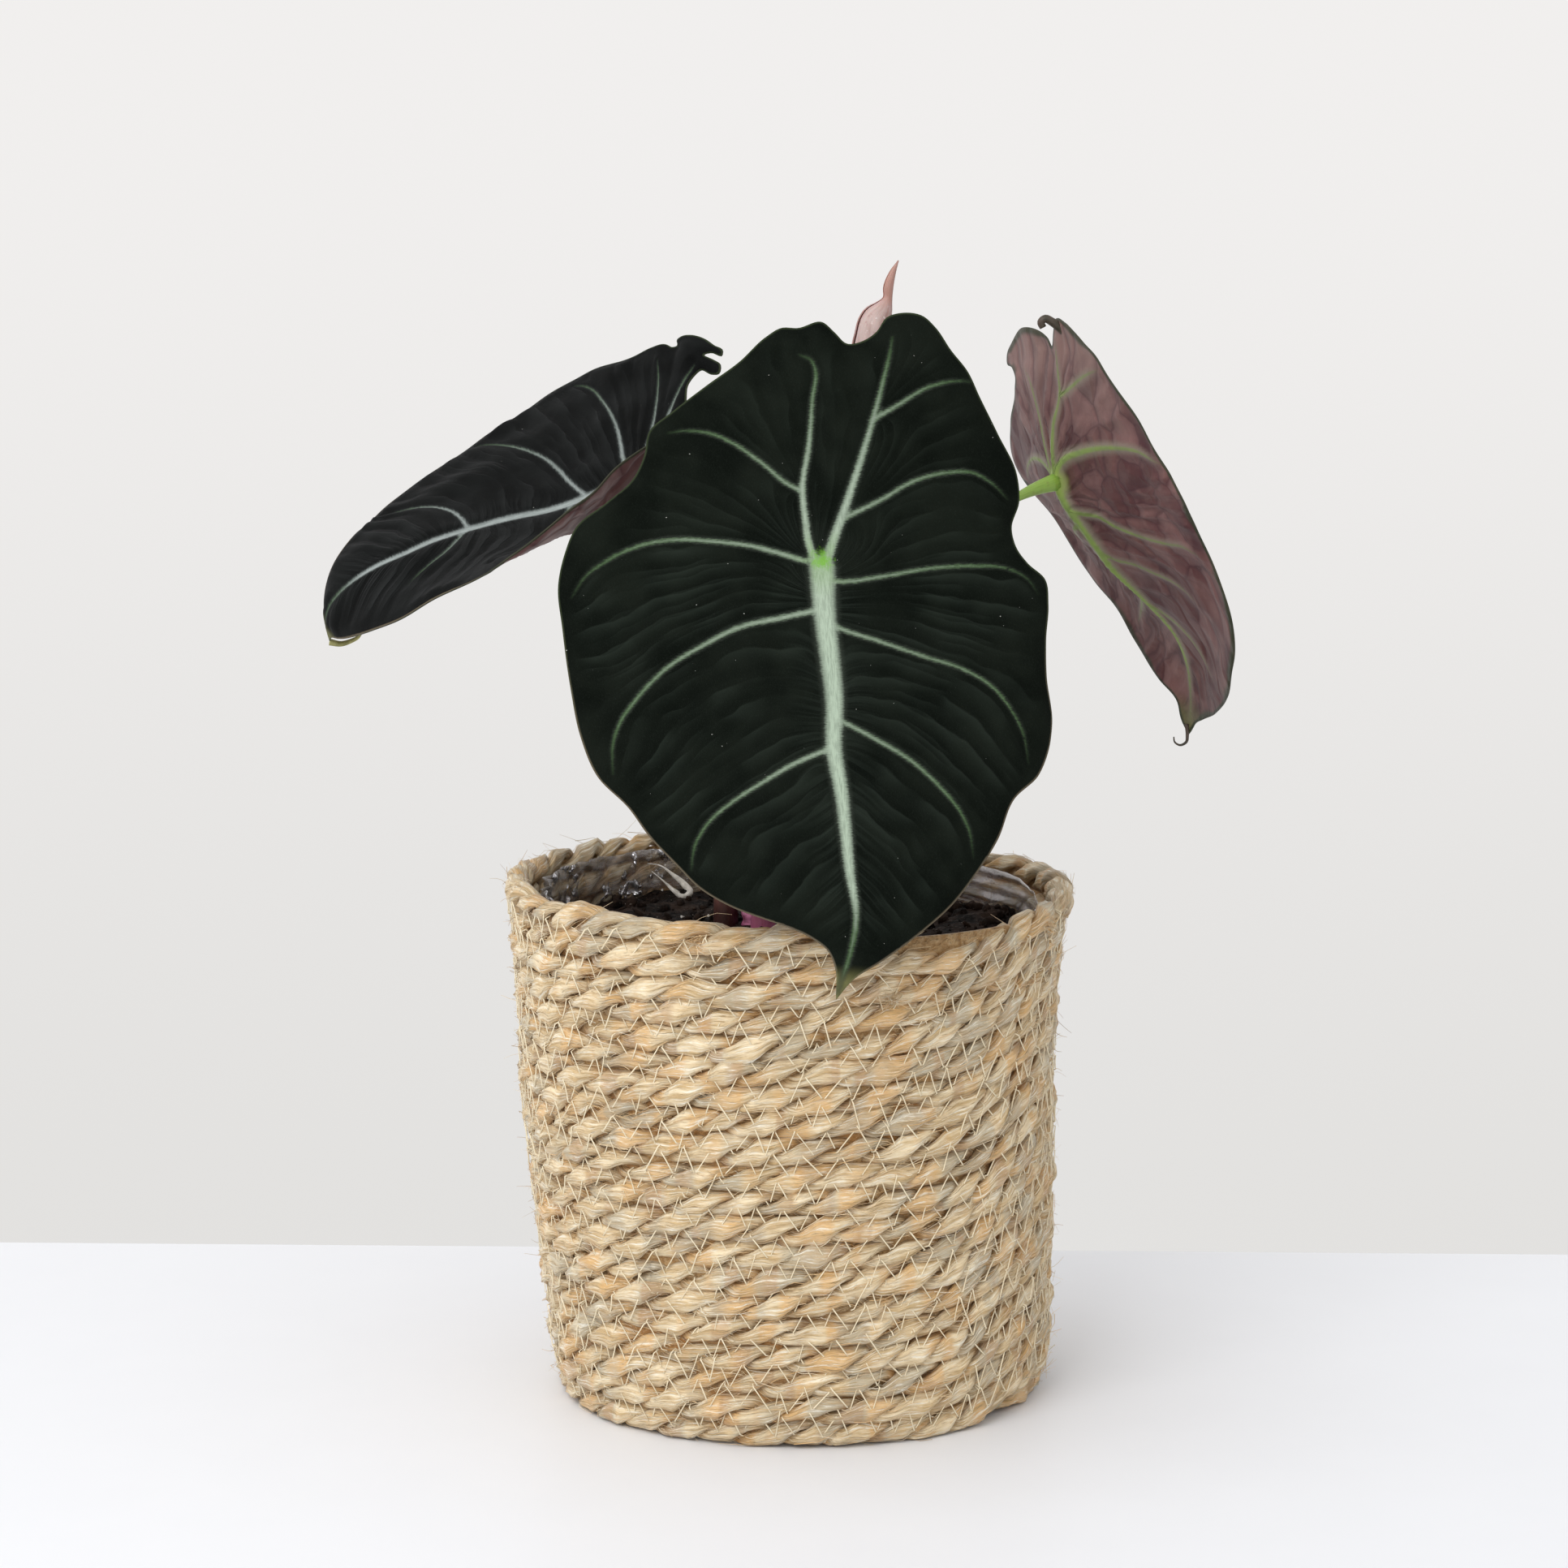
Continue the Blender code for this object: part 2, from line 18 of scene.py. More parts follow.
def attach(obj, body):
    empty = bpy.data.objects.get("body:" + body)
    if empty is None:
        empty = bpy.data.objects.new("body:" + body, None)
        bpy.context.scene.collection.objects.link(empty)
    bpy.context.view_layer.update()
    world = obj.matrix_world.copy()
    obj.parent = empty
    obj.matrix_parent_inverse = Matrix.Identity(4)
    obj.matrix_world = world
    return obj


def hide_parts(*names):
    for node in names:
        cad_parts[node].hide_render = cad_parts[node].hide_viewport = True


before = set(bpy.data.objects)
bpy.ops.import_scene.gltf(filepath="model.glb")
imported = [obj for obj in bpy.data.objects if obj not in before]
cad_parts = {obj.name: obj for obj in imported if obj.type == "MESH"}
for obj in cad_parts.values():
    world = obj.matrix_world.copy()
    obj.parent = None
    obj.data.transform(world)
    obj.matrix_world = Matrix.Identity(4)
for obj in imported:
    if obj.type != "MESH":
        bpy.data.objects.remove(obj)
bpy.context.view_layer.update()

MM = 0.001
TURN = 2 * math.pi
# sockets of a Mix node that mixes colours
MIX_A, MIX_B, MIX_OUT = 6, 7, 2

# ---------------------------------------------------------------- the basket's form
BASKET_HEIGHT = 120 * MM
ROW_COUNT = 20
RIM_HEIGHT = 117.7 * MM
ROW_PITCH = RIM_HEIGHT / ROW_COUNT
WALL = 5.0 * MM
RIM_LEAN = 1.4 * MM
WALL_HEIGHTS = (0, 8 * MM, 20 * MM, 60 * MM, 105 * MM, BASKET_HEIGHT)
WALL_RADII = (55 * MM, 57 * MM, 57.8 * MM, 60.4 * MM, 62.6 * MM, 65 * MM)
WALL_SHIFTS = (0, -0.2 * MM, -0.8 * MM, -2.8 * MM, -3.4 * MM, -2.6 * MM)
WALL_GIRTH = TURN * WALL_RADII[3]
# the rope is one coil: its turns are counted from the start of the wall, below 0 in the base, and
# it climbs to the next row over the last CLIMB of each turn, which ends at CLIMB_TURN
CLIMB = 0.125
CLIMB_TURN = 345 / 360
COIL_START = -9.0
COIL_END = ROW_COUNT - 1.25 * CLIMB
# within this much of a turn the rope turns to lie flat in the base; where the wall starts it is
# drawn in by COIL_TUCK
FLAT_TURN = 0.25
COIL_TUCK = 1.2 * MM

# ---------------------------------------------------------------- rope and stitches
TWIST_PITCH = 20.5 * MM
STRAND_OFFSET_OUT = 1.15 * MM
STRAND_OFFSET_UP = 1.6 * MM
STRAND_THIN = 1.55 * MM
STRAND_WIDE = 2.4 * MM
STRAND_FLAT = 0.3 * MM
STRAND_SIDES = 14
ROPE_STEP = 1.25 * MM
COIL_SAMPLES = 80000
# how far the fibres of a strand turn round it for each turn of the strand round the rope
FIBRE_TWIST = 1.15
# the rope's lowest points settle on the floor over about this height
REST_SOFTNESS = 0.5 * MM
# the top row's strands are slimmer by this share, and the rope's cut end by the second
RIM_SLIM = 0.1
END_SLIM = 0.45
# the rope's cut end sinks this far into the row below
END_SINK = 2.2 * MM
# the wall's rope is cut into three pieces at these turns
ROPE_CUTS = (0, 6.7, 13.3, COIL_END)
# the base's rope, hidden under the soil, is made more coarsely; its spiral starts BASE_HOLE turns
# out from the middle
BASE_STEP, BASE_SIDES = 1.8 * MM, 8
BASE_HOLE = 1.45
# fibre packed inside the wall: the depths of its two faces, and its points round and up
CORE_DEPTHS = (2.1 * MM, 2.9 * MM)
CORE_SIDES, CORE_ROWS = 120, 14
STITCH_STEP = 2.9 * MM
STITCH_RADIUS = 0.165 * MM
LOOSE_FIBRES = 2600
SURFACE_FIBRES = 5200
# frayed ends of the rope: place (mm), number of fibres, how far they reach (mm)
FRAYED = ((52.0, -24.0, 112.5, 90, 5.0), (22.5, -58.0, 101.5, 60, 4.5), (-20.0, -61.0, 113.5, 40, 4.5))
# tones that come and go along the rope: how often (per mm), noise between which it fades in, how
# strong it gets, and its colour
JUTE_TONES = (
    (0.070, 0.49, 0.60, 0.78, (0.78, 0.45, 0.16)),
    (0.055, 0.51, 0.62, 0.72, (0.50, 0.45, 0.34)),
    (0.110, 0.60, 0.70, 0.60, (0.52, 0.28, 0.12)),
)

# ---------------------------------------------------------------- film, soil, crown
FILM_THICKNESS = 0.2 * MM
FILM_SIDES = 600
# heights (mm): the middle of the bag's bottom, its corner, its rings below the soil's top, and
# those between which it comes off the wall
BAG_BOTTOM, BAG_CORNER = 5.4, 5.6
BAG_HEIGHTS = (10, 30, 60, 90, 100)
FILM_FREE = (103, 108)
LINER_TOP = 115
FREE_RINGS = 19
# the film is crumpled round CRUMPLED_TURN, and by CRUMPLED_LEAST elsewhere
CRUMPLED_TURN = 0.40
CRUMPLED_LEAST = 0.10
# the film's edge, folded over into a loop at the back left
FILM_FOLD = (
    (-36.5, 43.0, 113.2), (-33.6, 41.0, 113.1), (-30.4, 38.0, 111.4), (-27.4, 35.5, 109.2),
    (-26.3, 34.0, 107.8), (-27.5, 34.0, 106.9), (-29.9, 36.0, 107.8), (-32.3, 39.0, 109.4),
    (-35.5, 43.0, 111.3),
)
SOIL_TOP = 105 * MM
SOIL_GAP = 2.2 * MM
SOIL_SIDES, SOIL_RINGS = 150, 56
SOIL_HEIGHTS = (7, 30, 60, 90)
# the soil is heaped up round the crown: how high and how far
MOUND_HEIGHT, MOUND_WIDTH = 2.0 * MM, 14 * MM
# lumps of the soil's top: their height and width (mm), and a seed
SOIL_LUMPS = ((1.6, 14, 51), (1.0, 5, 52), (0.5, 2, 53))
CROWN = np.array((-8, 2, 105)) * MM
CROWN_RADIUS = 6.0 * MM
CROWN_HEIGHTS = (-7, 0, 3, 5, 7, 9.5, 12, 15)
CROWN_RADII = (5.2, 5.8, 5.6, 5.9, 5.4, 5.6, 4.6, 2.4)
CROWN_SIDES, CROWN_RINGS = 40, 60
STEM_SIDES = 20
STEM_DEPTH = 7 * MM
STEM_UPRIGHT = 6 * MM
STEM_STRAIGHT_END = 5 * MM
STEM_LEAN_GAP = 0.9 * MM
STEM_FOOT_RADIUS = 2.7 * MM
STEM_SHARES = (0, 0.06, 0.16, 0.3, 0.96, 1)
STEM_RADII = (2.9, 2.9, 2.5, 2.0, 1.5, 2.1)
ROLLED_STEM_RADII = (2.8, 2.2)

# ---------------------------------------------------------------- leaves
LEAF_THICKNESS = 0.8 * MM
EDGE_THICKNESS = 0.3 * MM
LEAF_SPACING = 0.85 * MM
# over this far from the margin the blade reaches its full thickness and relief
MARGIN = 3 * MM
# the midrib is followed a little past the lobes and the tip, in this many places
MIDRIB_REACH, MIDRIB_PLACES = (-0.7, 1.1), 181
VEIN_STEP = 0.6 * MM
VEIN_BLEND = 0.7 * MM
FOLD_STEP = 5.2
FOLD_ROUNDS = 300
FOLD_SPEED = 0.91
BARB_STEP = 1.15
# the midrib's width along its length, as a share of its width at the stem
MIDRIB_SHARES = (0, 0.1, 0.25, 0.5, 0.7, 0.82, 1)
MIDRIB_TAPER = (1, 0.85, 0.72, 0.52, 0.36, 0.17, 0.06)
# where along the blade its angles and curls are given: 0 at the stem, 1 at the tip
STATIONS = (-0.5, 0.0, 0.33, 0.67, 1.0)
# each blade: the place of its stem, the ways of its tip and face, its length from stem to tip, its
# angles (degrees) and curls at the stations, its outline, and its veins, midrib first: half width
# at the start and the end, how pale the start is, and the points. Points are (across, along) the
# flat blade
LEAVES = {
    "leaf_front": {
        "stem_point": (3.9, -48, 195.2), "tip_way": (0.07, -0.341, -0.937),
        "face_way": (0, -0.94, 0.342), "length": 96, "bend": (6, 0, 1, 4, 9),
        "sideways": (0, 0, 0, -3, -10), "rise_left": (6, 4, 3, 2, 2),
        "rise_right": (-2, -8, -10, -8, -4), "curl_left": (-0.25, -0.25, -0.25, -0.25, -0.25),
        "curl_right": (-0.45, -0.45, -0.45, -0.45, -0.45),
        "outline": (
            (9, 47.4), (6.5, 50), (4, 52.4), (-1.5, 51.4), (-5, 51.6), (-8.5, 49.8), (-14.5, 44.8),
            (-22, 40), (-30, 34.4), (-35, 30.5), (-36.4, 25.4), (-39, 20.6), (-45.2, 15.6),
            (-52, 11), (-55, 5), (-56.7, -1.5), (-56.4, -11), (-55.5, -24), (-54, -35), (-51, -44),
            (-44.5, -52), (-40.5, -58.6), (-35, -65.4), (-29.5, -71.5), (-23.5, -75.3),
            (-16, -78.2), (-10.4, -80), (-5.5, -82.2), (-2.2, -84.6), (-0.5, -88), (0.3, -94.7),
            (3.5, -90.3), (9, -86.3), (17.2, -80), (24.2, -74), (30.3, -67), (35, -60.6),
            (39, -52.6), (45.5, -47.2), (48.4, -42), (49.6, -36.5), (49.1, -26), (49.6, -18),
            (50.7, -10), (50.3, -4.5), (46.4, -0.8), (43.9, 2.8), (43.1, 6.5), (45.2, 12.5),
            (45, 18), (41, 27), (37.4, 35), (35.2, 40), (31.5, 45), (28.5, 50), (26, 52.6),
            (21, 53.5), (18.2, 52.8), (15.5, 49.6), (12.4, 47.8),
        ),
        "veins": (
            (2.4, 0.1, 1, (0, -1.8), (-0.2, -8.6), (0.2, -20.7), (0.5, -30.6), (-0.3, -41.4),
             (0.7, -50.3), (1.3, -59.1), (2, -67.8), (3.4, -77.4), (2.4, -85.1), (0.4, -93)),
            (0.7, 0.19, 0.8, (0, -2.2), (-1.7, 1), (-2.5, 4.2), (-2.8, 8.6), (-3, 15.7),
             (-0.9, 25.6), (0.6, 35.7), (1.6, 42.4), (0.9, 44.2), (-1.6, 45.4)),
            (0.37, 0.14, 0.45, (-3, 15.7), (-4.5, 16.3), (-11.9, 22.7), (-17.6, 27.1),
             (-22.3, 29.4), (-28.1, 30.2), (-31.5, 29.8)),
            (0.93, 0.19, 0.85, (0, -2.2), (1.5, 1), (2.8, 4.2), (4.8, 8.8), (9, 19), (13.4, 30.5),
             (16.2, 38.8), (18.3, 45.6), (18.9, 48.4)),
            (0.37, 0.12, 0.45, (13.4, 30.5), (19.6, 33.8), (25.9, 37.1), (33.1, 38.3), (36.2, 38)),
            (0.41, 0.14, 0.5, (5, 8.9), (14.2, 13.1), (21.5, 16.9), (28.8, 18.6), (35, 18.5),
             (39, 16.3), (42.5, 12.8)),
            (0.46, 0.16, 0.55, (0, 0), (-2.7, 0), (-8.4, 1.9), (-15.1, 4.1), (-23.9, 5.7),
             (-30.6, 6.5), (-39.5, 5.5), (-46.6, 2.6), (-50.7, -0.1), (-54, -4.4)),
            (0.37, 0.14, 0.45, (0, -4.2), (2.8, -4.7), (13, -3.9), (23.2, -2.3), (33.6, -1.7),
             (42, -2.3), (46.2, -4.4), (48.4, -7.6)),
            (0.49, 0.17, 0.6, (0, -10.6), (-2.5, -11), (-9.4, -12.1), (-18.3, -13.5),
             (-26.3, -16.8), (-34.4, -21.1), (-41.7, -27.6), (-45.4, -32.4), (-47.2, -37.3),
             (-47.6, -44)),
            (0.37, 0.14, 0.5, (0, -13.5), (2.1, -14.7), (10.9, -18), (20.8, -21.6), (29.9, -24.7),
             (35.9, -28.3), (40.2, -33.7), (42.4, -38.6), (43.2, -45)),
            (0.43, 0.14, 0.6, (0, -40.6), (-1.8, -41.3), (-8.7, -43.9), (-15.7, -47.6),
             (-22.6, -51.8), (-27.7, -56.1), (-30.7, -61.2), (-31.6, -67)),
            (0.41, 0.14, 0.5, (0, -34.6), (2.1, -35.6), (9.3, -39.7), (17, -44.7), (22.7, -50.2),
             (26.5, -54.9), (28.3, -58.7), (29.2, -64.5)),
        ),
    },
    "leaf_left": {
        "stem_point": (-38.2, 17.3, 208.1), "tip_way": (-0.861, -0.042, -0.507),
        "face_way": (-0.376, -0.619, 0.69), "length": 89.3, "bend": (30, 0, -19, -8, 78),
        "sideways": (34, 0, -5, 2, -9), "rise_left": (3, -7, -8, -14, 1),
        "rise_right": (25, 17, 15, 6, -9), "curl_left": (-1.08, -0.21, -0.56, -0.92, -1.27),
        "curl_right": (1.56, 1.68, 1.33, 0.97, 0.62),
        "outline": (
            (0, 16), (-5.4, 18.6), (-8.6, 21.3), (-10.9, 24.3), (-10.6, 27.4), (-9.5, 29.5),
            (-5.8, 29.9), (-4.1, 30.9), (-4.9, 33.1), (-7.3, 33.5), (-10.6, 33.7), (-8.8, 34.8),
            (-5.5, 35.3), (-5.8, 36.4), (-9, 37), (-12.3, 37.7), (-17.7, 37.5), (-21.4, 35.9),
            (-22.6, 34.4), (-21.8, 33.1), (-23.4, 31.9), (-27, 31.7), (-33.7, 27.9), (-42.1, 17.3),
            (-48.8, 7), (-52, -4.9), (-51.6, -14), (-48.6, -23.5), (-44.5, -32.5), (-38.5, -43),
            (-31, -53.5), (-22.5, -63.5), (-14, -73), (-7, -80.2), (-2.6, -85.2), (0, -89.3),
            (3.6, -84.8), (9, -80.4), (17, -73.2), (26.8, -65.2), (36.6, -55.4), (45.5, -44.7),
            (50.5, -32), (52.7, -18), (52.7, -4.5), (50.5, 7), (45, 17), (38, 26), (29, 32),
            (20, 35), (13, 33.5), (7, 29), (3, 22.5),
        ),
        "veins": (
            (1.7, 0.1, 1, (0, 1), (0.7, -14), (0.9, -21.5), (0, -30), (0.7, -40), (1.6, -49),
             (2.7, -56.5), (2.1, -63), (1.2, -70), (0, -78), (0, -87)),
            (0.44, 0.15, 0.8, (0.7, -12), (-7.4, -14.4), (-14.5, -15.8), (-21.8, -17.8),
             (-27.8, -20.5), (-33.5, -23.7), (-38.3, -27), (-42.3, -30.5)),
            (0.44, 0.15, 0.8, (0, 0), (-6.4, -0.8), (-12.6, 0.3), (-19.2, 1.5), (-26.9, 2),
             (-34.3, 1.6), (-40.9, 0.7), (-45, -1.1), (-48.3, -3.7)),
            (0.37, 0.12, 0.7, (-1, 1), (-6, 5.5), (-12.8, 11.2), (-16.4, 14.3), (-19.9, 17.6),
             (-24, 21.9), (-27.7, 25.7)),
            (0.52, 0.15, 0.8, (-1, 1), (-5, 7), (-9, 13.5), (-11.8, 19.3), (-12.9, 24.5),
             (-12.1, 30.2)),
            (0.41, 0.12, 0.8, (0, -40.4), (-4.7, -40.7), (-9.9, -41.8), (-15.1, -44.3),
             (-19.2, -47.4), (-22.7, -51.6), (-25, -55)),
            (0.3, 0.09, 0.5, (0, -40.4), (3.7, -43.4), (8.9, -48.3), (12, -52.7), (14.7, -56.6),
             (16.5, -59.1)),
            (0.37, 0.12, 0.5, (0.8, -16), (8, -19), (16, -23), (24, -28), (30, -34), (34, -41)),
            (0.41, 0.12, 0.5, (0, 0), (8, -1), (16, 1), (25, 2), (34, 0), (42, -5)),
            (0.52, 0.15, 0.6, (1, 1), (5, 7), (9, 14), (12, 21), (13, 30)),
            (0.33, 0.12, 0.5, (5, 7), (12, 12), (19, 17), (27, 21)),
        ),
    },
    "leaf_right": {
        "stem_point": (58.7, 21.5, 206), "tip_way": (0.249, 0.057, -0.967),
        "face_way": (0.901, 0.352, 0.253), "length": 76.6, "bend": (19, 0, -35, -19, 22),
        "sideways": (-3, 0, 1, 13, 23), "rise_left": (-5, 17, 18, 0, -13),
        "rise_right": (-1, 14, 16, 0, -20), "curl_left": (0.1, -0.34, -0.48, -0.63, -0.78),
        "curl_right": (0.34, -0.08, -0.17, -0.27, -0.36),
        "outline": (
            (-3.4, 31), (-4.6, 34), (-6.3, 36.8), (-12.5, 36.2), (-17, 34.2), (-22, 31.2),
            (-26.8, 28.3), (-30, 24), (-33.8, 19.4), (-38, 14), (-40.8, 7), (-42.8, 0.5),
            (-43.8, -6.5), (-42.9, -13.8), (-41.2, -22), (-40.3, -30), (-39.9, -37), (-38, -42),
            (-34.4, -46.4), (-30.4, -51), (-24.9, -56.1), (-15.1, -63.7), (-6.4, -69.4),
            (-1.9, -72.9), (0, -76.6), (3.2, -73.4), (5.2, -69.6), (11.4, -66), (16.1, -63),
            (21.1, -58.6), (25.8, -53.4), (30.3, -48.5), (36.9, -43.5), (42.5, -38), (46, -31),
            (47.4, -23), (47.2, -14), (47.6, -5), (47.4, 2), (44.7, 7.1), (39.1, 12.1),
            (32.7, 16.7), (26, 21), (22.9, 24.3), (25, 26.4), (29.4, 27.6), (28.1, 29.6),
            (23.8, 32.4), (18.8, 34.6), (13.3, 35.8), (5, 35), (0, 33),
        ),
        "veins": (
            (1.15, 0.15, 1, (0, 1), (-1, -5), (-2, -8.4), (-2.8, -12.8), (-2.5, -18.4),
             (-1.2, -24), (-0.5, -35), (-0.6, -39.6), (-1.6, -44.3), (-2.2, -48.7), (-1.5, -53.5),
             (-0.5, -58.3), (0.2, -63), (0, -75)),
            (0.7, 0.19, 1, (0, 0), (-1.5, 3), (-5, 5.4), (-10, 6.6), (-17.3, 7.7), (-25.8, 7.9),
             (-33.9, 7.1), (-40.9, 4)),
            (0.59, 0.12, 0.8, (0, 0), (-0.5, 5), (-1.7, 10.6), (-2.9, 14), (-5.2, 17.5),
             (-6.9, 20.9), (-6.9, 24.9), (-6.6, 32.5)),
            (0.37, 0.12, 0.5, (-6.7, 19.9), (-12.5, 21.9), (-19.2, 24.2), (-27.5, 25.7)),
            (0.55, 0.12, 0.6, (0, 0), (3.5, 4.7), (4.5, 7.5), (5.2, 11), (6.2, 14.5), (8.4, 18.7),
             (11.4, 23.6), (15.1, 26.5)),
            (0.48, 0.15, 0.8, (-1.8, -7.5), (-6.4, -8.7), (-10.1, -9.8), (-13.4, -13),
             (-17.7, -16.2), (-22.4, -19), (-27.8, -21.1), (-33, -22.3), (-37.5, -25)),
            (0.33, 0.12, 0.5, (-2.3, -18.5), (-4.5, -22.4), (-8.8, -24.9), (-13.3, -28.3),
             (-19.6, -31.7), (-25, -36.1)),
            (0.37, 0.12, 0.5, (-0.4, -38), (-6, -42), (-13, -47.5), (-19, -54)),
            (0.52, 0.12, 0.7, (0.5, 0), (8, 3), (16, 4), (25, 3), (33, 0), (40, -5)),
            (0.44, 0.12, 0.5, (-2, -11), (6, -14), (15, -18), (23, -23), (30, -30)),
            (0.37, 0.12, 0.5, (-0.4, -34), (6, -39), (13, -45), (19, -52)),
        ),
    },
}
# the velvets: the darkest and the softer tone (the darkest also paints the shade just past each fold),
# the painted sheen on the folds, nap and pleats, the veins, and the sheen
GREEN_VELVET = {
    "deep": (0.0022, 0.0036, 0.0022), "soft": (0.0064, 0.0088, 0.0060), "painted_sheen": (0.027, 0.036, 0.028),
    "vein": (0.40, 0.49, 0.38), "sheen": 0.056, "tint": (0.84, 0.88, 0.86),
}
# the left leaf's velvet: the same leaf, greyed to paint the sheen that it shows at a grazing angle
GRAZING_SHEEN_VELVET = {
    "deep": (0.0026, 0.0029, 0.0028), "soft": (0.0066, 0.0074, 0.0072), "painted_sheen": (0.022, 0.024, 0.024),
    "vein": (0.33, 0.37, 0.36), "sheen": 0.056, "tint": (0.88, 0.88, 0.92),
}
VELVETS = {"leaf_front": GREEN_VELVET, "leaf_left": GRAZING_SHEEN_VELVET, "leaf_right": GREEN_VELVET}
# folds of the velvet, shown by painted light and shade: step (mm), seed, noise between which they fade
# in, strength
FOLD_LAYERS = ((FOLD_STEP, 0.0, 0.42, 0.60, 0.72), (3.1, 37.0, 0.48, 0.64, 0.36))
# rolled ends of the blades: the leaf, the radius at the start and the end, tones, and the route
DRY_TONES = ((0.20, 0.19, 0.06), (0.42, 0.40, 0.16))
DARK_TONES = ((0.035, 0.032, 0.018), (0.085, 0.060, 0.045))
CURLS = {
    "left_tip_curl": ("leaf_left", (0.8, 0.35), DRY_TONES, (
        (-108.4, 15.8, 169.6), (-105.8, 15.8, 169.2), (-103.6, 15.8, 169.8), (-101.9, 15.8, 170.7),
        (-100.9, 15.8, 172.1))),
    "right_tip_tail": ("leaf_right", (0.55, 0.15), DARK_TONES, (
        (91.0, 42.4, 146.8), (91.2, 42.4, 144.0), (91.0, 42.4, 142.5), (89.5, 42.4, 141.7),
        (88.2, 42.4, 142.5), (88.0, 42.4, 143.7))),
    "right_lobe_hook": ("leaf_right", (1.2, 0.8), DARK_TONES, (
        (60.4, 14, 240.2), (58.4, 14, 241.6), (56.6, 14, 242.9), (55.0, 14, 243.6),
        (54.1, 14, 242.8), (54.6, 14, 241.6))),
}
CURL_RINGS, CURL_SIDES = 28, 10
STEM_ROUTES = {
    "leaf_front": ((-8.5, -8.0, 128), (-4.0, -17.0, 165), (2.0, -30.0, 189)),
    "leaf_left": ((-19.0, 6.0, 130), (-25.0, 14.0, 165), (-30.0, 26.0, 194)),
    "leaf_right": ((2.0, 6.0, 130), (14.0, 12.0, 165), (33.0, 15.0, 191)),
}
STEM_ANGLES = {"leaf_front": 265, "leaf_left": 170, "leaf_right": 25, "leaf_rolled": 95}
ROLLED_STEM_ROUTE = ((-5.5, 10.0, 125), (-1.0, 7.0, 145), (5.0, -1.0, 165), (7.6, -6.0, 181))
ROLL_AXIS = (
    (7.4, -6.0, 180.0), (11.4, -8.0, 199.0), (14.4, -8.0, 214.0), (15.9, -8.0, 228.0),
    (15.9, -8.0, 240.2), (16.6, -8.0, 244.9), (18.0, -8.0, 247.2), (18.85, -8.0, 249.2),
    (19.0, -8.0, 251.6), (19.9, -8.0, 254.8), (21.2, -8.0, 257.6),
)
ROLL_RADII = (2.2, 3.8, 5.0, 5.6, 4.7, 3.7, 2.3, 1.15, 1.2, 0.8, 0.12)
# the roll: its turns, the angle of its open edge at the stem and how that turns on (radians), the
# sheet's thickness and how far the winds draw in, both as a share of the roll's radius
ROLL_TURNS = 1.55
ROLL_START, ROLL_DRIFT = -0.11 * TURN, 1.2
ROLL_SHEET, ROLL_SHRINK = 0.085, 0.21
# rings along the roll, and points on each face of the sheet in one ring
ROLL_RINGS, ROLL_POINTS = 120, 64

# ---------------------------------------------------------------- view
# the camera stands at the height and distance that give the photograph's view
CAMERA_PLACE = (-4.1 * MM, -1000 * MM, 297.5 * MM)
CAMERA_TILT = 9
PICTURE_SIZE = 1932
FOCAL_PIXELS = 5494
SENSOR = 36
KEY_PLACE = (-0.78, -1.44, 1.4)
KEY_AIM = (0, 0, 0.12)
KEY_SIZE, KEY_ENERGY = 1.1, 14.5
FLOOR_CORNERS = ((-3, -6, 0), (3, -6, 0), (3, 0.025, 0), (-3, 0.205, 0))
FLOOR_DROP = 0.2 * MM


# ================================================================ numbers and curves
def unit(v):
    return v / np.linalg.norm(v, axis=-1, keepdims=True)


def smooth_step(x, low=0.0, high=1.0):
    x = np.clip((x - low) / (high - low), 0, 1)
    return x * x * (3 - 2 * x)


def curve_through(places, values, at):
    """Smooth curve through values given at places, run on straight past both ends."""
    places, values, at = (np.asarray(a, float) for a in (places, values, at))
    slopes = np.gradient(values, places)
    i = np.clip(np.searchsorted(places, at) - 1, 0, len(places) - 2)
    span = places[i + 1] - places[i]
    x = (at - places[i]) / span
    c = np.clip(x, 0, 1)
    inside = (
        (2 * c**3 - 3 * c**2 + 1) * values[i]
        + (c**3 - 2 * c**2 + c) * span * slopes[i]
        + (3 * c**2 - 2 * c**3) * values[i + 1]
        + (c**3 - c**2) * span * slopes[i + 1]
    )
    past = np.minimum(x, 0) * slopes[i] + np.maximum(x - 1, 0) * slopes[i + 1]
    return inside + past * span


def lengths_along(points):
    """How far along the line of points each one lies."""
    steps = np.linalg.norm(np.diff(points, axis=0), axis=1)
    return np.concatenate([[0], np.cumsum(steps)])


def route(points, count):
    """Evenly spaced points on a smooth curve through the given points."""
    points = np.asarray(points, float)
    places = lengths_along(points)
    at = np.linspace(0, places[-1], count)
    return np.stack([curve_through(places, points[:, k], at) for k in range(points.shape[1])], 1)


def length_of(points):
    return np.linalg.norm(np.diff(points, axis=0), axis=1).sum()


def circle_at(turn):
    """Places (x, y) on a circle of radius 1, at angles given in turns."""
    return np.stack([np.cos(TURN * turn), np.sin(TURN * turn)], 1)


def lumps(points, size, seed):
    """Smooth noise between -1 and 1 at each point, with lumps about as wide as size."""
    table = np.random.default_rng(seed).uniform(-1, 1, (32, 32, 32))
    points = np.asarray(points, float)
    if points.ndim == 1:
        points = np.stack([points, 0 * points, 0 * points], 1)
    low = np.floor(points / size).astype(int)
    part = points / size - low
    part = part * part * (3 - 2 * part)
    total = np.zeros(len(points))
    for corner in itertools.product((0, 1), repeat=3):
        share = np.prod(np.where(corner, part, 1 - part), axis=1)
        total += share * table[tuple(((low + corner) % 32).T)]
    return total


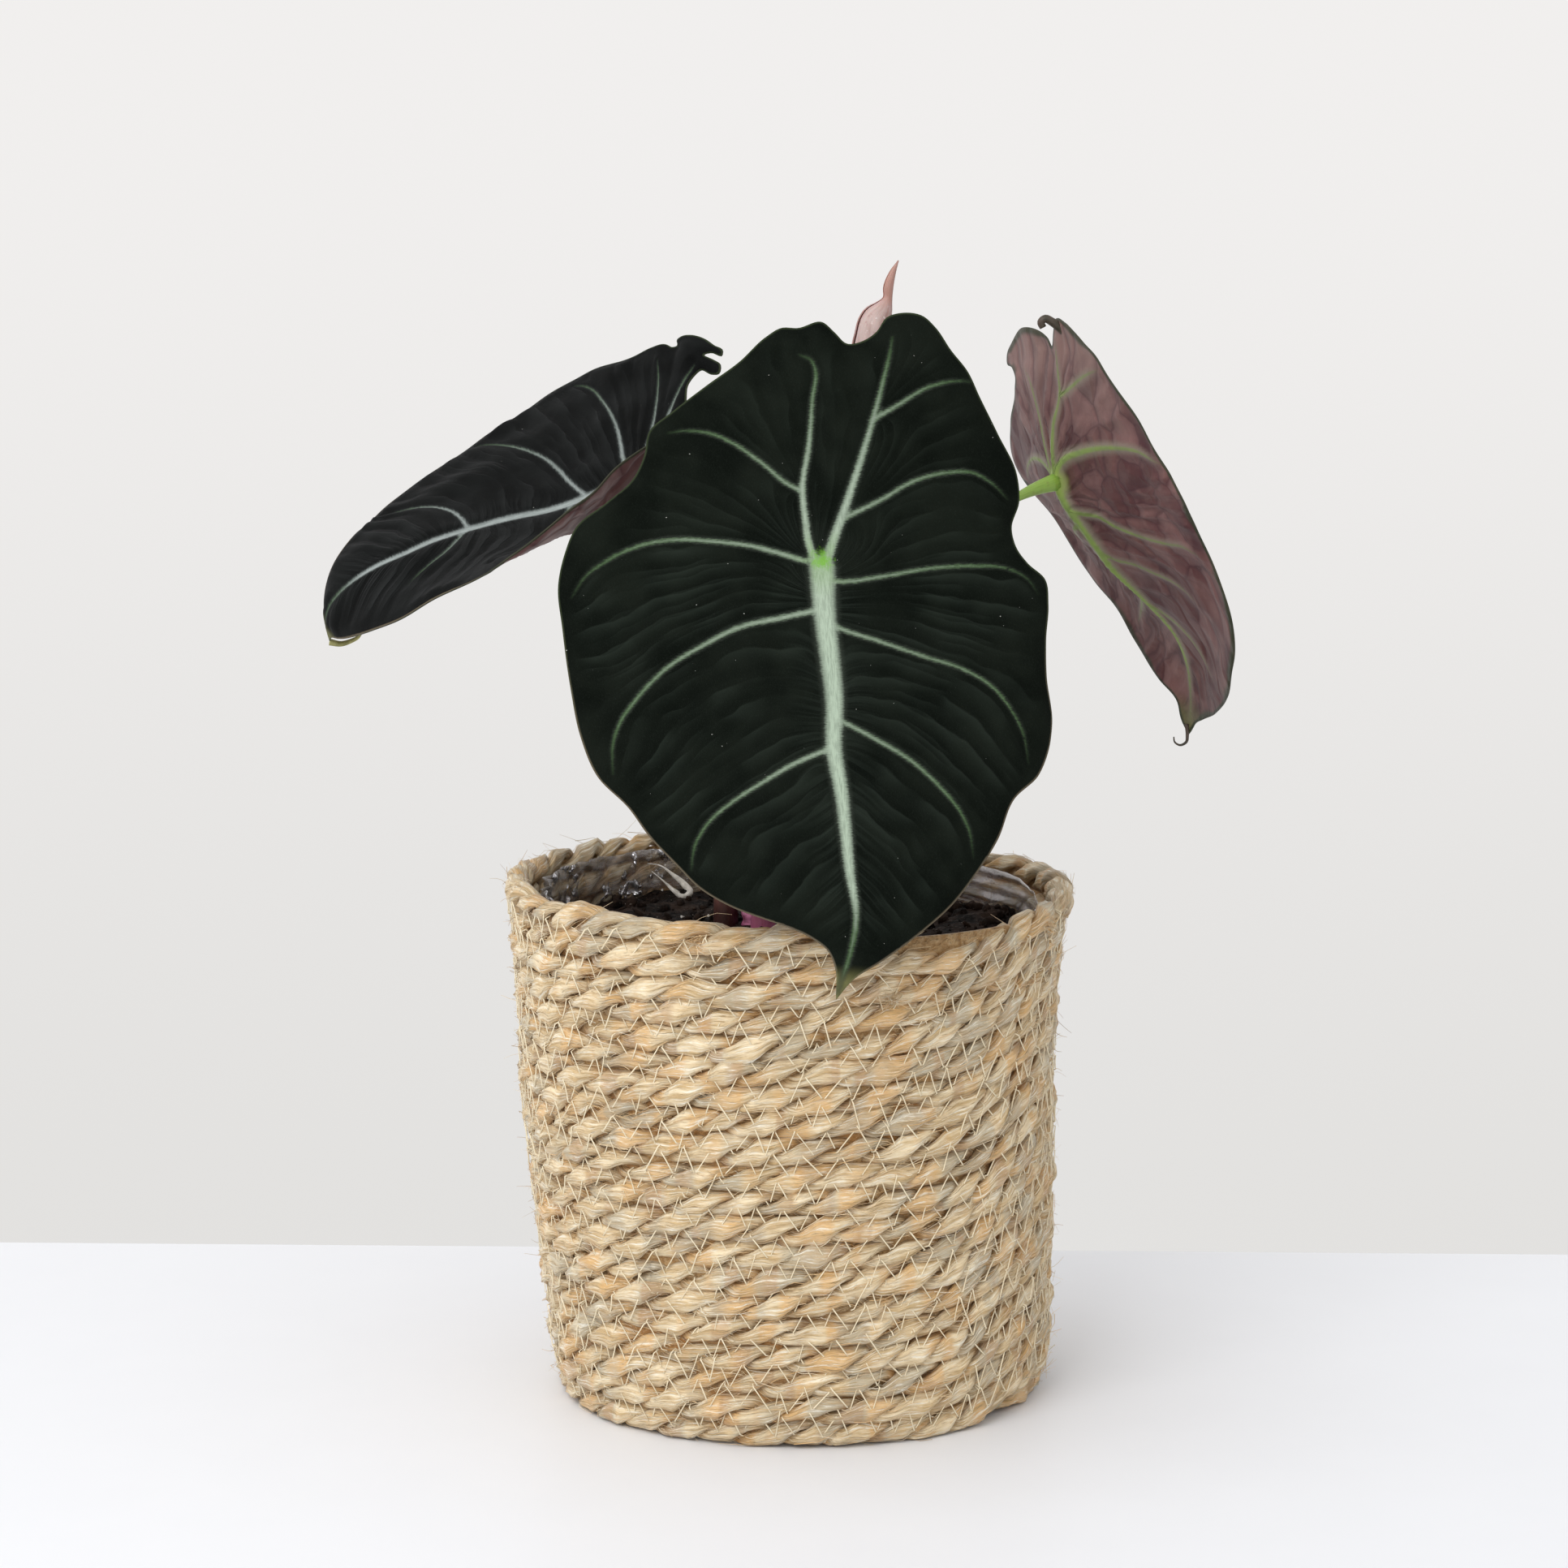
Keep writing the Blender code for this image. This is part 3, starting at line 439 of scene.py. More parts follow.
# ================================================================ meshes
def join_parts(parts):
    """(points, faces) of several parts as one; faces is a list of arrays of corners."""
    points, faces, start = [], [], 0
    for part_points, part_faces in parts:
        points.append(part_points)
        faces += [np.asarray(f) + start for f in part_faces]
        start += len(part_points)
    return np.vstack(points), faces


def add_piece(name, shape, materials, nodes, face_materials=None, attributes=None):
    """A smooth mesh that replaces CAD nodes; shape is (points, list of arrays of corners)."""
    mesh = bpy.data.meshes.new(name)
    points, faces = np.asarray(shape[0], np.float32), shape[1]
    corners = np.concatenate([np.asarray(f, np.int32).ravel() for f in faces])
    sizes = np.concatenate([np.full(len(f), np.asarray(f).shape[1], np.int32) for f in faces])
    mesh.vertices.add(len(points))
    mesh.vertices.foreach_set("co", points.ravel())
    mesh.loops.add(len(corners))
    mesh.loops.foreach_set("vertex_index", corners)
    mesh.polygons.add(len(sizes))
    mesh.polygons.foreach_set("loop_start", np.cumsum(sizes) - sizes)
    mesh.update(calc_edges=True)
    for material in materials:
        mesh.materials.append(material)
    if face_materials is not None:
        mesh.polygons.foreach_set("material_index", np.asarray(face_materials, np.int32))
    mesh.shade_smooth()
    for label, values in (attributes or {}).items():
        kind, field = ("FLOAT_VECTOR", "vector") if np.ndim(values) == 2 else ("FLOAT", "value")
        made = mesh.attributes.new(label, kind, "POINT")
        made.data.foreach_set(field, np.asarray(values, np.float32).ravel())
    piece = bpy.data.objects.new(name, mesh)
    bpy.context.scene.collection.objects.link(piece)
    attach(piece, "root")
    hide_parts(*nodes)


def ring_quads(count, sides, looped=False):
    """Faces between the rings of a stack; looped joins the last ring to the first."""
    at = np.arange(count * sides).reshape(count, sides)
    a, b = (at, np.roll(at, -1, 0)) if looped else (at[:-1], at[1:])
    return np.stack([a, np.roll(a, -1, 1), np.roll(b, -1, 1), b], -1).reshape(-1, 4)


def ring_mesh(rings, ends=True):
    """Points and faces of a stack of rings (ring, side, xyz), closed with a fan at each end."""
    count, sides = rings.shape[:2]
    points, quads = rings.reshape(-1, 3), ring_quads(count, sides)
    if not ends:
        return points, [quads]
    low, high = count * sides, count * sides + 1
    points = np.vstack([points, rings[0].mean(0), rings[-1].mean(0)])
    first = np.arange(sides)
    last = first + (count - 1) * sides
    fans = np.vstack([
        np.stack([np.roll(first, -1), first, np.full(sides, low)], 1),
        np.stack([last, np.roll(last, -1), np.full(sides, high)], 1),
    ])
    return points, [quads, fans]


def with_ends(values):
    """The values of the points of a stack of rings, with those of the two that close its ends."""
    return np.concatenate([values, values[:1], values[-1:]])


def square_ways(path, hint):
    """Two ways square to the path at each of its points, which turn as little as they can."""
    ways = unit(np.gradient(path, axis=0))
    side = unit(np.cross(ways[0], hint))
    for way in ways:
        side = unit(side - way * (side @ way))
        yield side, np.cross(way, side)


def around(centre, radius, angle, side, other):
    """Places round a centre, at angles from one of two square ways to the other."""
    return centre + radius * (np.cos(angle)[:, None] * side + np.sin(angle)[:, None] * other)


def tube(path, radii, sides, ends=True):
    """Round tube along a path; each ring is square to the path. Ends close in a point."""
    angles = np.arange(sides) * TURN / sides
    places = zip(path, np.broadcast_to(radii, len(path)), square_ways(path, (0.31, 0.9, 0.27)))
    rings = [around(centre, radius, angles, *ways) for centre, radius, ways in places]
    return ring_mesh(np.array(rings), ends)


def fibre_places(along, angle, radius):
    """Texture places whose grain runs along a stack of rings, with one value for each ring."""
    rings, sides = len(along), len(angle)
    return with_ends(np.stack([
        np.repeat(along, sides),
        np.tile(radius * np.cos(angle), rings),
        np.tile(radius * np.sin(angle), rings),
    ], 1))


# ================================================================ materials
class Value:
    """The output of a shader node; arithmetic on it adds Math nodes."""

    def __init__(self, shader, socket):
        self.shader, self.socket = shader, socket

    def __add__(self, other):
        return self.shader.math("ADD", self, other)

    def __sub__(self, other):
        return self.shader.math("SUBTRACT", self, other)

    def __mul__(self, other):
        return self.shader.math("MULTIPLY", self, other)

    def __truediv__(self, other):
        return self.shader.math("DIVIDE", self, other)

    def __pow__(self, other):
        return self.shader.math("POWER", self, other)


class Shader:
    """The nodes of a material or a world, with short calls that add more."""

    def __init__(self, owner, end_node, **sockets):
        owner.use_nodes = True
        self.owner, self.tree = owner, owner.node_tree
        self.end_node = self.tree.nodes[end_node]
        self.set(**sockets)

    def set(self, **sockets):
        for label, value in sockets.items():
            self.put(self.end_node.inputs[label.replace("_", " ")], value)

    def put(self, socket, value):
        if isinstance(value, Value):
            self.tree.links.new(value.socket, socket)
        elif isinstance(value, tuple) and len(value) == 3 and len(socket.default_value) == 4:
            socket.default_value = (*value, 1)
        else:
            socket.default_value = value

    def node(self, kind, inputs, output=0, **settings):
        """Adds a node and returns one of its outputs."""
        made = self.tree.nodes.new("ShaderNode" + kind)
        for label, value in settings.items():
            setattr(made, label, value)
        for label, value in inputs.items():
            self.put(made.inputs[label], value)
        return Value(self, made.outputs[output])

    def attribute(self, name, output="Fac"):
        return self.node("Attribute", {}, output, attribute_name=name)

    def place(self, kind="Object"):
        return self.node("TexCoord", {}, kind)

    def axis(self, vector, name):
        return self.node("SeparateXYZ", {0: vector}, name)

    def math(self, operation, a, b=0.0, c=0.0):
        return self.node("Math", {0: a, 1: b, 2: c}, operation=operation)

    def scaled(self, vector, scale):
        return self.node("VectorMath", {0: vector, 1: scale}, operation="MULTIPLY")

    def moved(self, vector, by):
        return self.node("VectorMath", {0: vector, 1: (by, by, by)})

    def noise(self, vector, scale, detail=2.0, roughness=0.5):
        inputs = {"Vector": vector, "Scale": scale, "Detail": detail, "Roughness": roughness}
        return self.node("TexNoise", inputs)

    def line_noise(self, value, scale, detail):
        inputs = {"W": value, "Scale": scale, "Detail": detail}
        return self.node("TexNoise", inputs, noise_dimensions="1D")

    def range(self, value, low, high, to_low=0.0, to_high=1.0):
        """Runs smoothly from to_low to to_high while the value goes from low to high."""
        inputs = {"Value": value, "From Min": low, "From Max": high, "To Min": to_low, "To Max": to_high}
        return self.node("MapRange", inputs, interpolation_type="SMOOTHSTEP")

    def mix(self, share, a, b, mode="MIX"):
        inputs = {"Factor": share, MIX_A: a, MIX_B: b}
        return self.node("Mix", inputs, MIX_OUT, data_type="RGBA", blend_type=mode)

    def blend(self, value, low, high, a, b):
        """From one colour to the other while the value goes from low to high."""
        return self.mix(self.range(value, low, high), a, b)

    def cover(self, base, *layers):
        """Lays colours over a base; each reaches its share as its value goes from low to high."""
        for value, low, high, share, colour in layers:
            base = self.mix(self.range(value, low, high, 0, share), base, colour)
        return base

    def bump(self, height, distance, strength=1.0, after=None):
        inputs = {"Height": height, "Distance": distance, "Strength": strength}
        if after is not None:
            inputs["Normal"] = after
        return self.node("Bump", inputs)


def principled(name, **sockets):
    return Shader(bpy.data.materials.new(name), "Principled BSDF", **sockets)


def mottled_finish(name, scale, detail, tones, relief, strength, **sockets):
    """Cloudy between two tones, with fine relief."""
    f = principled(name, Specular_IOR_Level=0.3, **sockets)
    cloud = f.noise(f.place(), scale, detail)
    f.set(Base_Color=f.mix(cloud, *tones), Normal=f.bump(cloud, relief, strength))
    return f.owner


def jute_finish():
    """Silky, streaky fibre in cream, straw, tan and grey, with shade painted darker down between the
    strands.
    """
    f = principled("jute_rope", Specular_IOR_Level=0.34, Sheen_Weight=0.10, Sheen_Roughness=0.4)
    fibre, along = f.attribute("fibre", "Vector"), f.attribute("along")
    streak = f.noise(fibre, 1.3, 3.0, 0.6)
    thread = f.noise(f.scaled(fibre, (0.8, 1.0, 1.0)), 2.9, 4.0, 0.72)
    base = f.blend(streak, 0.35, 0.66, (0.66, 0.47, 0.24), (0.96, 0.80, 0.54))
    for scale, low, high, share, colour in JUTE_TONES:
        patch = f.range(f.line_noise(along, scale, 2.0), low, high, 0, share)
        base = f.mix(patch * f.range(thread, 0.3, 0.6, 0.45, 1.0), base, colour)
    base = f.cover(
        base,
        # pale raised threads: fibre tone, whitened in part to paint the fibres' sheen highlights
        (thread, 0.51, 0.66, 0.9, (1.0, 0.945, 0.80)),
        (thread, 0.47, 0.31, 0.85, (0.38, 0.245, 0.11)),
    )
    # painted shade: darker where the depth attribute marks the creases between strands and rows
    base = f.mix(f.attribute("depth"), base, (0.56, 0.43, 0.29), "MULTIPLY")
    f.set(Base_Color=base, Roughness=f.range(streak, 0.3, 0.7, 0.58, 0.38))
    f.set(Normal=f.bump(thread, 0.5 * MM, 1.0, f.bump(streak, 0.7 * MM, 0.9)))
    return f.owner


def film_finish():
    """Clear film tinted dark, partly a painted shade; painted sheen bands where it is smooth, painted
    glints where it is crumpled.
    """
    f = principled("clear_film", IOR=1.45, Specular_IOR_Level=0.9, Roughness=0.08,
                   Coat_Weight=1.0, Coat_Roughness=0.2)
    crumpled = f.attribute("crumpled")
    crease = f.noise(f.place(), 170.0, 3.0, 0.6)
    haze = f.noise(f.place(), 70.0, 2.0)
    patch = f.noise(f.place(), 110.0, 1.0)
    fleck = f.noise(f.scaled(f.place(), (1.0, 1.0, 0.6)), 300.0, 3.0, 0.6)
    stripe = f.noise(f.scaled(f.place(), (0.16, 0.16, 1.0)), 480.0, 1.0)
    # painted glints: white flecks on the crumpled film, also made metallic and bumped so that they catch
    # real reflections
    glint = f.range(fleck, 0.53, 0.58) * f.range(patch, 0.45, 0.53) * crumpled
    edge = f.attribute("edge") * f.range(crumpled, 1.0, 0.0, 0.25, 1.0)
    smooth = f.range(crumpled, 0.9, 0.3)
    # painted sheen: pale bands where the film is smooth, which are also a little more opaque
    band = f.range(stripe, 0.44, 0.60) * smooth
    wrinkled = f.range(crease, 0.35, 0.75) * f.range(smooth, 1.0, 0.0, 0.25, 1.0)
    # dark grey-brown haze: the film's tint, partly a painted shade of the basket's inside
    haze = haze * f.range(smooth, 0.0, 1.0, 1.0, 0.3)
    base = f.mix(haze, (0.12, 0.10, 0.09), (0.38, 0.36, 0.35))
    base = f.mix(band * 0.85, base, (0.52, 0.47, 0.48))
    base = f.mix(glint, base, (0.95, 0.95, 1.0))
    base = f.mix(edge, base, (0.44, 0.41, 0.39))
    opaque = f.range(wrinkled, 0.0, 1.0, 0.24, 0.52) + band * 0.25 + glint * 0.7 + edge * 0.4
    f.set(Base_Color=base, Alpha=opaque, Metallic=glint * 0.8)
    f.set(Normal=f.bump(fleck * glint, 4.0 * MM, 1.0, f.bump(wrinkled, 1.5 * MM, 0.6)))
    return f.owner


def fold_finish():
    """Doubled film where it folds over: milky and glossy, its bright pale colour partly a painted
    highlight.
    """
    f = principled("folded_film", IOR=1.45, Specular_IOR_Level=0.9, Roughness=0.12)
    cloud = f.noise(f.place(), 500.0, 2.0)
    # pale, near-white colour: milky film, partly a painted highlight on the fold
    f.set(Base_Color=f.mix(cloud, (0.62, 0.57, 0.48), (0.95, 0.92, 0.86)))
    f.set(Alpha=f.range(cloud, 0.3, 0.7, 0.45, 0.85), Normal=f.bump(cloud, 0.3 * MM, 0.5))
    return f.owner


def soil_finish():
    """Near-black peat with brown and a few pale specks."""
    f = principled("potting_soil", Specular_IOR_Level=0.12)
    grit = f.noise(f.place(), 900.0, 4.0, 0.7)
    clump = f.noise(f.place(), 220.0, 3.0)
    speck = f.noise(f.place(), 1300.0, 1.0)
    base = f.cover(
        f.blend(clump, 0.35, 0.65, (0.004, 0.0026, 0.0019), (0.030, 0.0175, 0.012)),
        (grit, 0.55, 0.75, 0.6, (0.085, 0.050, 0.033)),
        (speck, 0.72, 0.78, 0.6, (0.30, 0.26, 0.22)),
    )
    f.set(Base_Color=base, Roughness=f.range(grit, 0.3, 0.7, 0.95, 0.6))
    f.set(Normal=f.bump(grit, 0.9 * MM, 1.0, f.bump(clump, 1.5 * MM, 0.6)))
    return f.owner


def vein_share(f, outer, inner, feather):
    """1 on a vein and 0 off it; the ragged edge runs from outer to inner past the vein's own."""
    hair = f.noise(f.scaled(f.attribute("flat", "Vector"), (0.6, 3.2, 1.0)), 1.3, 4.0, 0.75)
    softness = f.attribute("width") * 0.5 + 0.6
    past = (f.attribute("beyond") + (hair - 0.5) * feather) / softness
    return f.range(past, outer, inner) * f.range(f.attribute("pale"), 0.0, 0.3)


def fold_place(f):
    """The fold field of the half that a spot lies on."""
    left, right = f.attribute("folds_left"), f.attribute("folds_right")
    return f.math("MULTIPLY_ADD", right - left, f.range(f.attribute("half"), -0.02, 0.02), left)


def vein_net(f, cell, stretch, warp):
    """Distance from a net of small veins, as a share of a cell, and a tone for each cell."""
    flat = f.attribute("flat", "Vector")
    spot = f.node("CombineXYZ", {"X": fold_place(f) / stretch, "Y": f.axis(flat, "X")})
    bend = f.node("TexNoise", {"Vector": flat, "Scale": 0.1, "Detail": 2.0}, "Color")
    bent = f.node("VectorMath", {0: bend, 1: (warp, warp, 0.0), 2: spot}, operation="MULTIPLY_ADD")
    inputs = {"Vector": bent, "Scale": 1 / cell, "Randomness": 0.9}
    distance = f.node("TexVoronoi", inputs, "Distance", feature="DISTANCE_TO_EDGE")
    return distance, f.axis(f.node("TexVoronoi", inputs, "Color", feature="F1"), "X")


def terraces(f, step, seed):
    """A saw-tooth across the folds: it rises to 1 at each fold and drops to 0 beyond it."""
    bend = f.noise(f.moved(f.attribute("flat", "Vector"), seed), 0.11, 2.0)
    return f.math("FRACT", (fold_place(f) + bend * 3.0) / step)


def fold_presence(f, seed, low, high):
    """Where on the blade the folds show, from 0 to 1: least on the lobes and near the margin."""
    flat = f.attribute("flat", "Vector")
    patch = f.range(f.noise(f.moved(flat, seed), 0.07, 1.0), low, high, 0.12, 1.0)
    off_lobes = f.range(f.axis(flat, "Y"), 0.0, 14.0, 1.0, 0.40)
    off_tip = f.range(f.attribute("down"), 0.92, 0.72)
    clear = f.range(f.attribute("margin"), 1.0, 7.0) * f.range(f.attribute("beyond"), 0.1, 2.0)
    return patch * off_lobes * off_tip * clear


def velvet_folds(f, base, deep, painted_sheen):
    """The base with painted light and shade on its fold terraces and painted highlights on fine pleats
    along the midrib; and their relief.
    """
    relief = None
    for step, seed, low, high, strength in FOLD_LAYERS:
        rise = terraces(f, step, seed)
        seen = fold_presence(f, seed, low, high) * strength
        # painted shade: the darkest tone laid just past each fold line
        base = f.mix(f.range(rise, 0.55, 0.05) * seen * 0.6, base, deep)
        # painted highlight: the sheen tone on the rise up to each fold line
        lit = rise ** 2.6 * f.range(rise, 1.0, 0.93) * seen
        base = f.mix(lit * 0.62, base, painted_sheen)
        relief = f.bump(lit, 0.45 * MM, 0.7, relief)
    near_rib = f.range(f.attribute("off_midrib"), 10.0, 0.5) * f.range(f.attribute("beyond"), 0.1, 1.6)
    off_tip = f.range(f.attribute("down"), 0.90, 0.74)
    pleat = f.range(f.line_noise(fold_place(f), 0.8, 1.0), 0.42, 0.62) * (near_rib * off_tip)
    # painted highlight along the fine pleats beside the midrib
    return f.mix(pleat * 0.22, base, painted_sheen), f.bump(pleat, 0.22 * MM, 0.7, relief)


def velvet_veins(f, base, vein):
    """The base with its veins laid over it: faint halo, feathered edge, pale line, green junction."""
    flat, pale = f.attribute("flat", "Vector"), f.attribute("pale")
    faint, dim, soft = (tuple(share * part for part in vein) for share in (0.085, 0.22, 0.55))
    green = (0.13 * vein[0], 0.20 * vein[1], 0.10 * vein[2])
    base = f.mix(vein_share(f, 1.2, 0.1, 1.4) * 0.75, base, faint)
    edge = f.blend(pale, 0.15, 0.9, green, soft)
    line = f.blend(pale, 0.3, 1.0, f.blend(pale, 0.05, 0.55, green, soft), vein)
    streak = f.noise(f.scaled(flat, (2.4, 0.35, 1.0)), 1.3, 3.0)
    line = f.cover(line, (streak, 0.4, 0.7, 0.6, soft))
    barb = f.math("ABSOLUTE", f.math("SINE", fold_place(f) * (math.pi / BARB_STEP)))
    barb = f.range(barb, 0.5, 0.0) * f.range(f.attribute("off_midrib"), 1.2, 0.0)
    barb = barb * f.range(f.noise(flat, 0.9, 2.0), 0.35, 0.65, 0.0, 0.5)
    base = f.mix(barb * f.range(pale, 0.3, 0.8), base, dim)
    off_tip = f.range(f.attribute("down"), 0.95, 0.90)
    base = f.mix(vein_share(f, 0.50, -0.20, 1.3) * off_tip, base, edge)
    base = f.mix(vein_share(f, 0.10, -0.70, 1.1) * off_tip, base, line)
    stem = f.attribute("junction") + (f.noise(flat, 1.1, 4.0, 0.7) - 0.5) * 6.0
    near_stem = f.range(stem, 9.0, 1.0, 0, 0.45) * vein_share(f, 0.3, -0.4, 1.0)
    base = f.mix(near_stem, base, (0.17, 0.30, 0.10))
    return f.cover(base, (stem, 2.9, 0.1, 0.85, (0.17, 0.41, 0.04)))


def velvet_finish(name, deep, soft, painted_sheen, vein, sheen, tint):
    """Upper face: near-black velvet between pale, feathered veins, with light and shade painted on its
    fold terraces and a painted sheen on its nap.
    """
    f = principled(name, Roughness=0.7, Specular_IOR_Level=0.04, Sheen_Weight=sheen,
                   Sheen_Roughness=0.30, Sheen_Tint=tint)
    flat = f.attribute("flat", "Vector")
    nap = f.noise(f.scaled(flat, (3.0, 1.2, 1.0)), 2.6, 3.0, 0.65)
    rim = f.blend(f.axis(flat, "Y"), 0.0, -50.0, (0.045, 0.060, 0.030), (0.17, 0.14, 0.095))
    base = f.blend(f.noise(flat, 0.09, 2.0), 0.3, 0.7, deep, soft)
    base, relief = velvet_folds(f, base, deep, painted_sheen)
    base = f.cover(
        base,
        # painted sheen of the velvet's nap, in streaks
        (nap, 0.50, 0.8, 0.3, painted_sheen),
        (f.attribute("margin"), 0.55, 0.1, 0.8, rim),
        (f.attribute("down"), 0.905, 0.955, 0.85, (0.165, 0.165, 0.065)),
    )
    dust = f.noise(flat, 1.9, 0.0)
    base = f.cover(velvet_veins(f, base, vein), (dust, 0.915, 0.93, 0.7, (0.5, 0.5, 0.46)))
    f.set(Base_Color=base, Normal=f.bump(nap, 0.15 * MM, 0.4, relief))
    return f.owner


def underside_finish():
    """Lower face: mauve and red-brown cells between dark small veins and yellow-green ribs."""
    f = principled("leaf_underside", Roughness=0.5, Specular_IOR_Level=0.18, Sheen_Weight=0.03,
                   Sheen_Roughness=0.5)
    flat, pale = f.attribute("flat", "Vector"), f.attribute("pale")
    mottle = f.noise(flat, 0.30, 3.0)
    net, tone = vein_net(f, 7.6, 1.25, 6.0)
    fine, _ = vein_net(f, 2.8, 1.2, 3.0)
    folds = terraces(f, FOLD_STEP, 0.0)
    base = f.cover(
        f.blend(f.noise(flat, 0.08, 2.0), 0.38, 0.62, (0.095, 0.036, 0.036), (0.162, 0.074, 0.068)),
        (mottle, 0.48, 0.70, 0.5, (0.240, 0.128, 0.114)),
        (f.axis(flat, "Y"), 2.0, 34.0, 0.45, (0.33, 0.235, 0.205)),
        (tone, 0.45, 0.95, 0.50, (0.250, 0.138, 0.130)),
        (tone, 0.40, 0.05, 0.55, (0.068, 0.023, 0.026)),
        (fine, 0.12, 0.0, 0.10, (0.075, 0.028, 0.036)),
        (net, 0.22, 0.05, 0.30, (0.085, 0.034, 0.040)),
        (net, 0.06, 0.01, 0.42, (0.050, 0.016, 0.022)),
    )
    # painted shade in the creases just before each fold
    crease = folds ** 5.0 * (fold_presence(f, 0.0, 0.40, 0.58) * 0.3)
    base = f.mix(crease, base, (0.060, 0.020, 0.026))
    halo = f.mix(pale, (0.20, 0.15, 0.125), (0.28, 0.25, 0.185))
    base = f.mix(vein_share(f, 2.4, 0.0, 1.0) * 0.85, base, halo)
    green = f.mix(pale, (0.155, 0.165, 0.085), (0.25, 0.355, 0.095))
    base = f.mix(vein_share(f, 0.55, -0.35, 0.4), base, green)
    rim_width = f.range(f.noise(flat, 0.05, 1.0), 0.5, 0.6, 1.0, 2.4)
    base = f.cover(
        base,
        (f.attribute("junction"), 5.0, 1.0, 0.8, (0.36, 0.50, 0.10)),
        (f.attribute("down"), 0.86, 0.96, 0.8, (0.15, 0.15, 0.07)),
        (f.attribute("margin") / rim_width, 0.9, 0.35, 0.85, (0.026, 0.040, 0.020)),
    )
    relief = f.bump(f.range(net, 0.0, 0.3), 0.6 * MM, 0.6, f.bump(folds, 0.4 * MM, 0.4))
    f.set(Base_Color=base, Normal=f.bump(mottle, 0.3 * MM, 0.4, relief))
    return f.owner


def curl_finish(name, dark, light):
    """The dry, rolled ends of the blades."""
    f = principled(name, Roughness=0.45, Specular_IOR_Level=0.35)
    cloud = f.noise(f.place(), 260.0, 2.0)
    f.set(Base_Color=f.blend(cloud, 0.35, 0.65, dark, light), Normal=f.bump(cloud, 0.4 * MM, 0.6))
    return f.owner


def stem_finish():
    """Leaf stem: streaked yellow-green; its foot is dark, or pink where "blush" is 1."""
    f = principled("stem_green", Roughness=0.38, Specular_IOR_Level=0.45, Subsurface_Weight=0.15,
                   Subsurface_Scale=0.002)
    streak = f.noise(f.attribute("fibre", "Vector"), 3.0, 3.0, 0.6)
    sheath = f.mix(f.attribute("blush"), (0.030, 0.009, 0.008), (0.48, 0.135, 0.25))
    base = f.cover(
        f.mix(streak, (0.20, 0.36, 0.045), (0.35, 0.53, 0.10)),
        (f.noise(f.place(), 700.0, 2.0), 0.60, 0.74, 0.3, (0.20, 0.17, 0.06)),
        (f.attribute("foot"), 0.0, 0.9, 0.9, (0.22, 0.06, 0.08)),
        (f.attribute("foot"), 0.8, 1.0, 0.9, sheath),
    )
    f.set(Base_Color=base, Normal=f.bump(streak, 0.25 * MM, 0.5))
    return f.owner


def pink_finish():
    """The new leaf's stem and outer face: pale dusty pink, brown-pink along its edge and tip."""
    f = principled("new_leaf_pink", Roughness=0.42, Specular_IOR_Level=0.4, Subsurface_Weight=0.12,
                   Subsurface_Scale=0.002)
    streak = f.noise(f.attribute("fibre", "Vector"), 1.1, 3.0, 0.55)
    cloud = f.noise(f.place(), 190.0, 2.0)
    speck = f.noise(f.place(), 900.0, 3.0, 0.7)
    base = f.cover(
        f.blend(streak, 0.3, 0.7, (0.36, 0.215, 0.19), (0.56, 0.42, 0.39)),
        (cloud, 0.5, 0.72, 0.5, (0.62, 0.49, 0.52)),
        (speck, 0.42, 0.30, 0.5, (0.33, 0.17, 0.17)),
        (speck, 0.60, 0.72, 0.7, (0.78, 0.70, 0.70)),
    )
    base = f.mix(f.attribute("seam") * 0.8, base, (0.26, 0.135, 0.115))
    base = f.mix(f.attribute("tip"), base, (0.45, 0.235, 0.19))
    f.set(Base_Color=base, Normal=f.bump(streak, 0.25 * MM, 0.5))
    return f.owner


def crown_finish():
    """Pink, ringed skin with brown patches."""
    f = principled("root_stock_skin", Roughness=0.5, Specular_IOR_Level=0.4)
    ring = f.noise(f.scaled(f.place(), (1.0, 1.0, 4.0)), 260.0, 3.0, 0.6)
    base = f.cover(
        f.blend(ring, 0.35, 0.65, (0.40, 0.075, 0.19), (0.66, 0.24, 0.40)),
        (f.noise(f.place(), 180.0, 2.0), 0.55, 0.72, 0.75, (0.10, 0.055, 0.03)),
    )
    f.set(Base_Color=base, Normal=f.bump(ring, 0.6 * MM, 0.8))
    return f.owner


# ================================================================ basket
def wall_shift(height):
    return curve_through(WALL_HEIGHTS, WALL_SHIFTS, height)


def wall_radius(height):
    return curve_through(WALL_HEIGHTS, WALL_RADII, height)


def inner_radius(height):
    return wall_radius(height) - WALL


def on_wall(turn, radius, height):
    """Place at an angle, in turns, at a radius and a height, with the wall's shift and lean."""
    x, y = radius * np.cos(TURN * turn), radius * np.sin(TURN * turn)
    lean = -RIM_LEAN * x / WALL_RADII[-1] * np.maximum(0, height) / BASKET_HEIGHT
    return np.stack([x + wall_shift(height), y, height + lean], -1)


def row_height(coil):
    """Height of the rope's middle; its cut end sinks a little into the row below."""
    row = np.floor(coil)
    climb = smooth_step(coil - row, 1 - CLIMB, 1.0)
    height = (row + climb + 0.5) * ROW_PITCH
    last = (ROW_COUNT - 0.5) * ROW_PITCH
    sink = smooth_step(coil, COIL_END - 0.05, COIL_END) * END_SINK
    return np.where(coil > ROW_COUNT - 1, last - sink, height)


